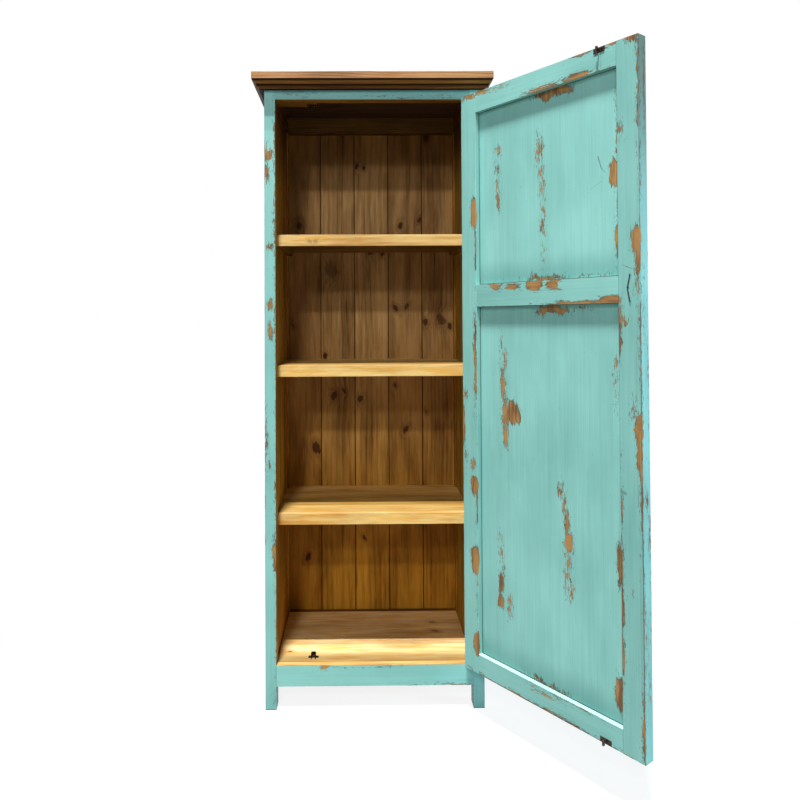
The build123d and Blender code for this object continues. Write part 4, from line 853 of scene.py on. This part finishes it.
# along the stile's edge, across from its outer face (0) to its inner one (-31)
free_edge_spots = [
    (-11, 1650, 3.5, 75, 0.4), (-30, 1700, 3, 60, 0.3), (-16, 1140, 2, 40, 1.2),
    (-30, 1090, 2.5, 80, 0.6), (-4, 985, 1.6, 60, 0.8), (-15, 712, 5, 22, 0.4),
    (-4, 640, 4, 45, 0.5), (-2, 560, 3, 60, 0.6), (-20, 400, 4, 40, 1.3),
    (-30, 1480, 2.2, 130, 0.5), (-30, 1260, 2.5, 90, 0.4), (-30, 840, 2.5, 150, 0.5),
    (-30, 480, 2.2, 190, 0.5), (-12, 300, 4, 30, 1.3)]
free_stile_scratches = [
    (516, 1237, 539, 1228, 0.7, 0.9), (545, 1195, 540, 1168, 0.6, 0.8),
    (505, 724, 517, 720, 5.0, 0.45), (531, 500, 536, 490, 0.8, 0.8),
    (540, 930, 542, 900, 0.8, 0.8), (508, 720, 508, 610, 0.5, 0.6),
    (548, 1040, 549, 700, 1.6, 0.22), (553, 560, 554, 260, 3.0, 0.16),
    (559, 1150, 559, 150, 1.5, 0.85), (559.3, 1740, 559.3, 1330, 1.1, 0.6)]
dark_edge = ((0.38, 0.29, 0.24), (0, DOOR_WIDTH - 0.8, DOOR_WIDTH - 0.1),
             (2, 1150, DOOR_HIGH))
dress(painted_wood(
    "free_stile_paint", door_upright, (-FAR, INNER_FACE, DOOR_LOW),
    (DOOR_WIDTH, 0, DOOR_HIGH), 2.6, 0.02,
    {(1, INNER_FACE): free_stile_spots, (0, DOOR_WIDTH): free_edge_spots,
     (1, 0): scattered(9, (508, 556), (160, 1730))}, scores=free_stile_scratches,
    scored_face=INNER_FACE, shift=door_shift, level=0.88, tints=[dark_edge]),
    "door_stile_free")

rail_spots = {
    "door_rail_top": [(84, 1750, 28, 9, 0.5), (148, 1745, 30, 7, 1.4),
                      (290, 1700, 66, 8, 0.5), (395, 1699, 44, 11, 0.3),
                      (418, 1756, 34, 7, 0.4), (490, 1754, 40, 8, 0.4)],
    "door_rail_lock": [(135, 1204, 22, 12, 0.6), (187, 1203, 20, 10, 0.3),
                       (258, 1205, 32, 17, 0.2), (322, 1202, 26, 15, 0.6),
                       (400, 1153, 84, 6, 0.2), (484, 1158, 28, 14, 0.2)],
    "door_rail_bottom": [(282, 172, 40, 9, 1.4), (378, 185, 48, 4, 0.4),
                         (250, 132, 260, 4, 0.4)]}
# a scratch down the top rail, and a dark line along the foot of the bottom one
rail_scratches = [(465, 1738, 464, 1702, 0.6, 1.0), (15, 134, 290, 134, 1.5, 0.8)]
# painted highlight: each rail's top edge is lightened nearly to white
for rail, spots in rail_spots.items():
    (_, _, low), (_, _, high) = box_mm(rail)
    dress(painted_wood(
        f"{rail}_paint", door_sideways, (-high, INNER_FACE, -FAR), (-low, 0, FAR),
        1.2, 0.0, {(1, INNER_FACE): spots}, level=0.95,
        scores=rail_scratches, scored_face=INNER_FACE, shift=sideways_shift,
        sideways=True,
        tints=[((1.45, 1.08, 1.12), (0, 0.9 - high, 0.2 - high))]), rail)

for panel, below, above, spots, scores in (
        ("door_panel_upper", "door_rail_lock", "door_rail_top", [
            (489, 1456, 17, 28, 0.15), (501, 1520, 8, 45, 0.5), (498, 1606, 7, 46, 1.5),
            (500, 1394, 7, 40, 0.3), (500, 1292, 9, 38, 0.2), (314, 1690, 55, 13, 0.2),
            (128, 1581, 11, 16, 1.5), (125, 1523, 11, 26, 1.5), (126, 1482, 10, 22, 1.4),
            (129, 1442, 7, 28, 0.5), (270, 1552, 14, 40, 1.7), (276, 1495, 11, 26, 1.3),
            (278, 1461, 10, 37, 1.3), (281, 1399, 10, 14, 1.0), (278, 1357, 9, 26, 0.7),
            (278, 1282, 6, 22, 1.7), (283, 1222, 60, 9, 0.4), (405, 1217, 44, 1.2, 0.3)],
            [(444, 1501, 453, 1470, 1.4, 0.8), (425, 1427, 453, 1441, 0.5, 0.6),
             (453, 1470, 464, 1460, 1.2, 0.5)]),
        ("door_panel_lower", "door_rail_bottom", "door_rail_lock", [
            (306, 1141, 52, 11, 0.3), (391, 1146, 22, 6, 1.4), (135, 1044, 6, 26, 1.6),
            (146, 1002, 9, 22, 1.0), (139, 940, 9, 50, 0.5), (146, 858, 12, 46, 0.4),
            (148, 797, 9, 28, 0.4), (176, 866, 22, 30, 0.15), (488, 1020, 5, 14, 0.5),
            (486, 967, 7, 46, 1.7), (328, 690, 12, 24, 1.4), (340, 655, 10, 28, 1.2),
            (345, 618, 9, 34, 0.5), (352, 562, 13, 32, 0.5), (351, 513, 11, 24, 1.2),
            (345, 485, 9, 12, 1.3), (340, 461, 8, 20, 1.2), (355, 452, 9, 26, 1.5),
            (127, 498, 10, 40, 1.7), (133, 436, 8, 14, 1.2), (126, 402, 11, 25, 0.5),
            (127, 358, 13, 22, 0.5), (160, 356, 12, 20, 1.3), (157, 329, 9, 12, 0.7),
            (497, 550, 13, 52, 0.2), (493, 256, 15, 38, 0.2), (284, 190, 62, 10, 0.8)],
            [(353, 478, 356, 470, 2.6, 1.0)])):
    low, high = box_mm(below)[1][2], box_mm(above)[0][2]
    # painted shade: dark lines in the corners against the frame, partly dirt, and each
    # panel darker towards its foot and towards the hinge stile
    dress(painted_wood(
        f"{panel}_paint", door_upright, (-FAR, -FAR, -FAR), (FAR, FAR, 3 * FAR), 3.0, 0.0,
        {(1, PANEL_FACE): spots}, scores=scores, scored_face=PANEL_FACE,
        shift=door_shift,
        grime_and_shade=[(0, -FAR, STILE_WIDTH + 2.6), (2, -FAR, low + 2.6),
               (2, high - 1.6, 3 * FAR), (0, DOOR_WIDTH - STILE_WIDTH - 1.4, FAR)],
        tints=[((0.60, 0.66, 0.66), (2, low + 80, low)),
               ((0.86, 0.90, 0.90), (0, STILE_WIDTH + 18, STILE_WIDTH))]), panel)


# --------------------------------------------------------- the ironwork
# Hinges, nails, screws, catches and the ring pull are iron, blackened and
# oiled to a dark bronze, brighter in patches.
dark_iron, took, gives = shader_group(
    "dark_iron", [("Place", "Vector"), ("Bright", "Color"), ("Dark", "Color")],
    [("Color", "Color"), ("Height", "Float"), ("Sheen Lost", "Float")])
tree = dark_iron
rust = stretched_noise(tree, took["Place"], (260.0, 260.0, 260.0), 4.0, 0.6)
dents = stretched_noise(tree, took["Place"], (900.0, 900.0, 900.0), 3.0, 0.6)
tree.links.new(mixed(tree, smooth_step(tree, rust, 0.40, 0.62), took["Dark"],
                     took["Bright"]), gives["Color"])
tree.links.new(reckon(tree, "ADD", rust, dents), gives["Height"])
tree.links.new(reckon(tree, "MULTIPLY_ADD", rust, 0.5, 0.2), gives["Sheen Lost"])


def iron_finish(name, dark, bright):
    """Dented iron, darker and brighter in patches."""
    material, tree = new_material(name)
    metal = place_group(tree, dark_iron, {
        "Place": put(tree, "TexCoord").outputs["Object"], "Bright": bright,
        "Dark": dark})
    bump = put(tree, "Bump", {"Height": metal["Height"], "Distance": 0.0003,
                              "Strength": 0.5})
    shader = put(tree, "BsdfPrincipled", {
        "Base Color": metal["Color"], "Roughness": metal["Sheen Lost"],
        "Metallic": 0.85, "Normal": bump.outputs[0]})
    put(tree, "OutputMaterial", {"Surface": shader.outputs[0]})
    return material


bronze = iron_finish("dark_bronze_iron", (0.020, 0.015, 0.012, 1),
                     (0.085, 0.058, 0.040, 1))
dress(bronze, *(name for name in nodes if name.startswith(
    ("hinge_", "pull_", "lower_catch", "upper_catch", "lower_strike", "upper_strike",
     "strike_screws", "catch_screws", "back_nails", "top_nails"))))
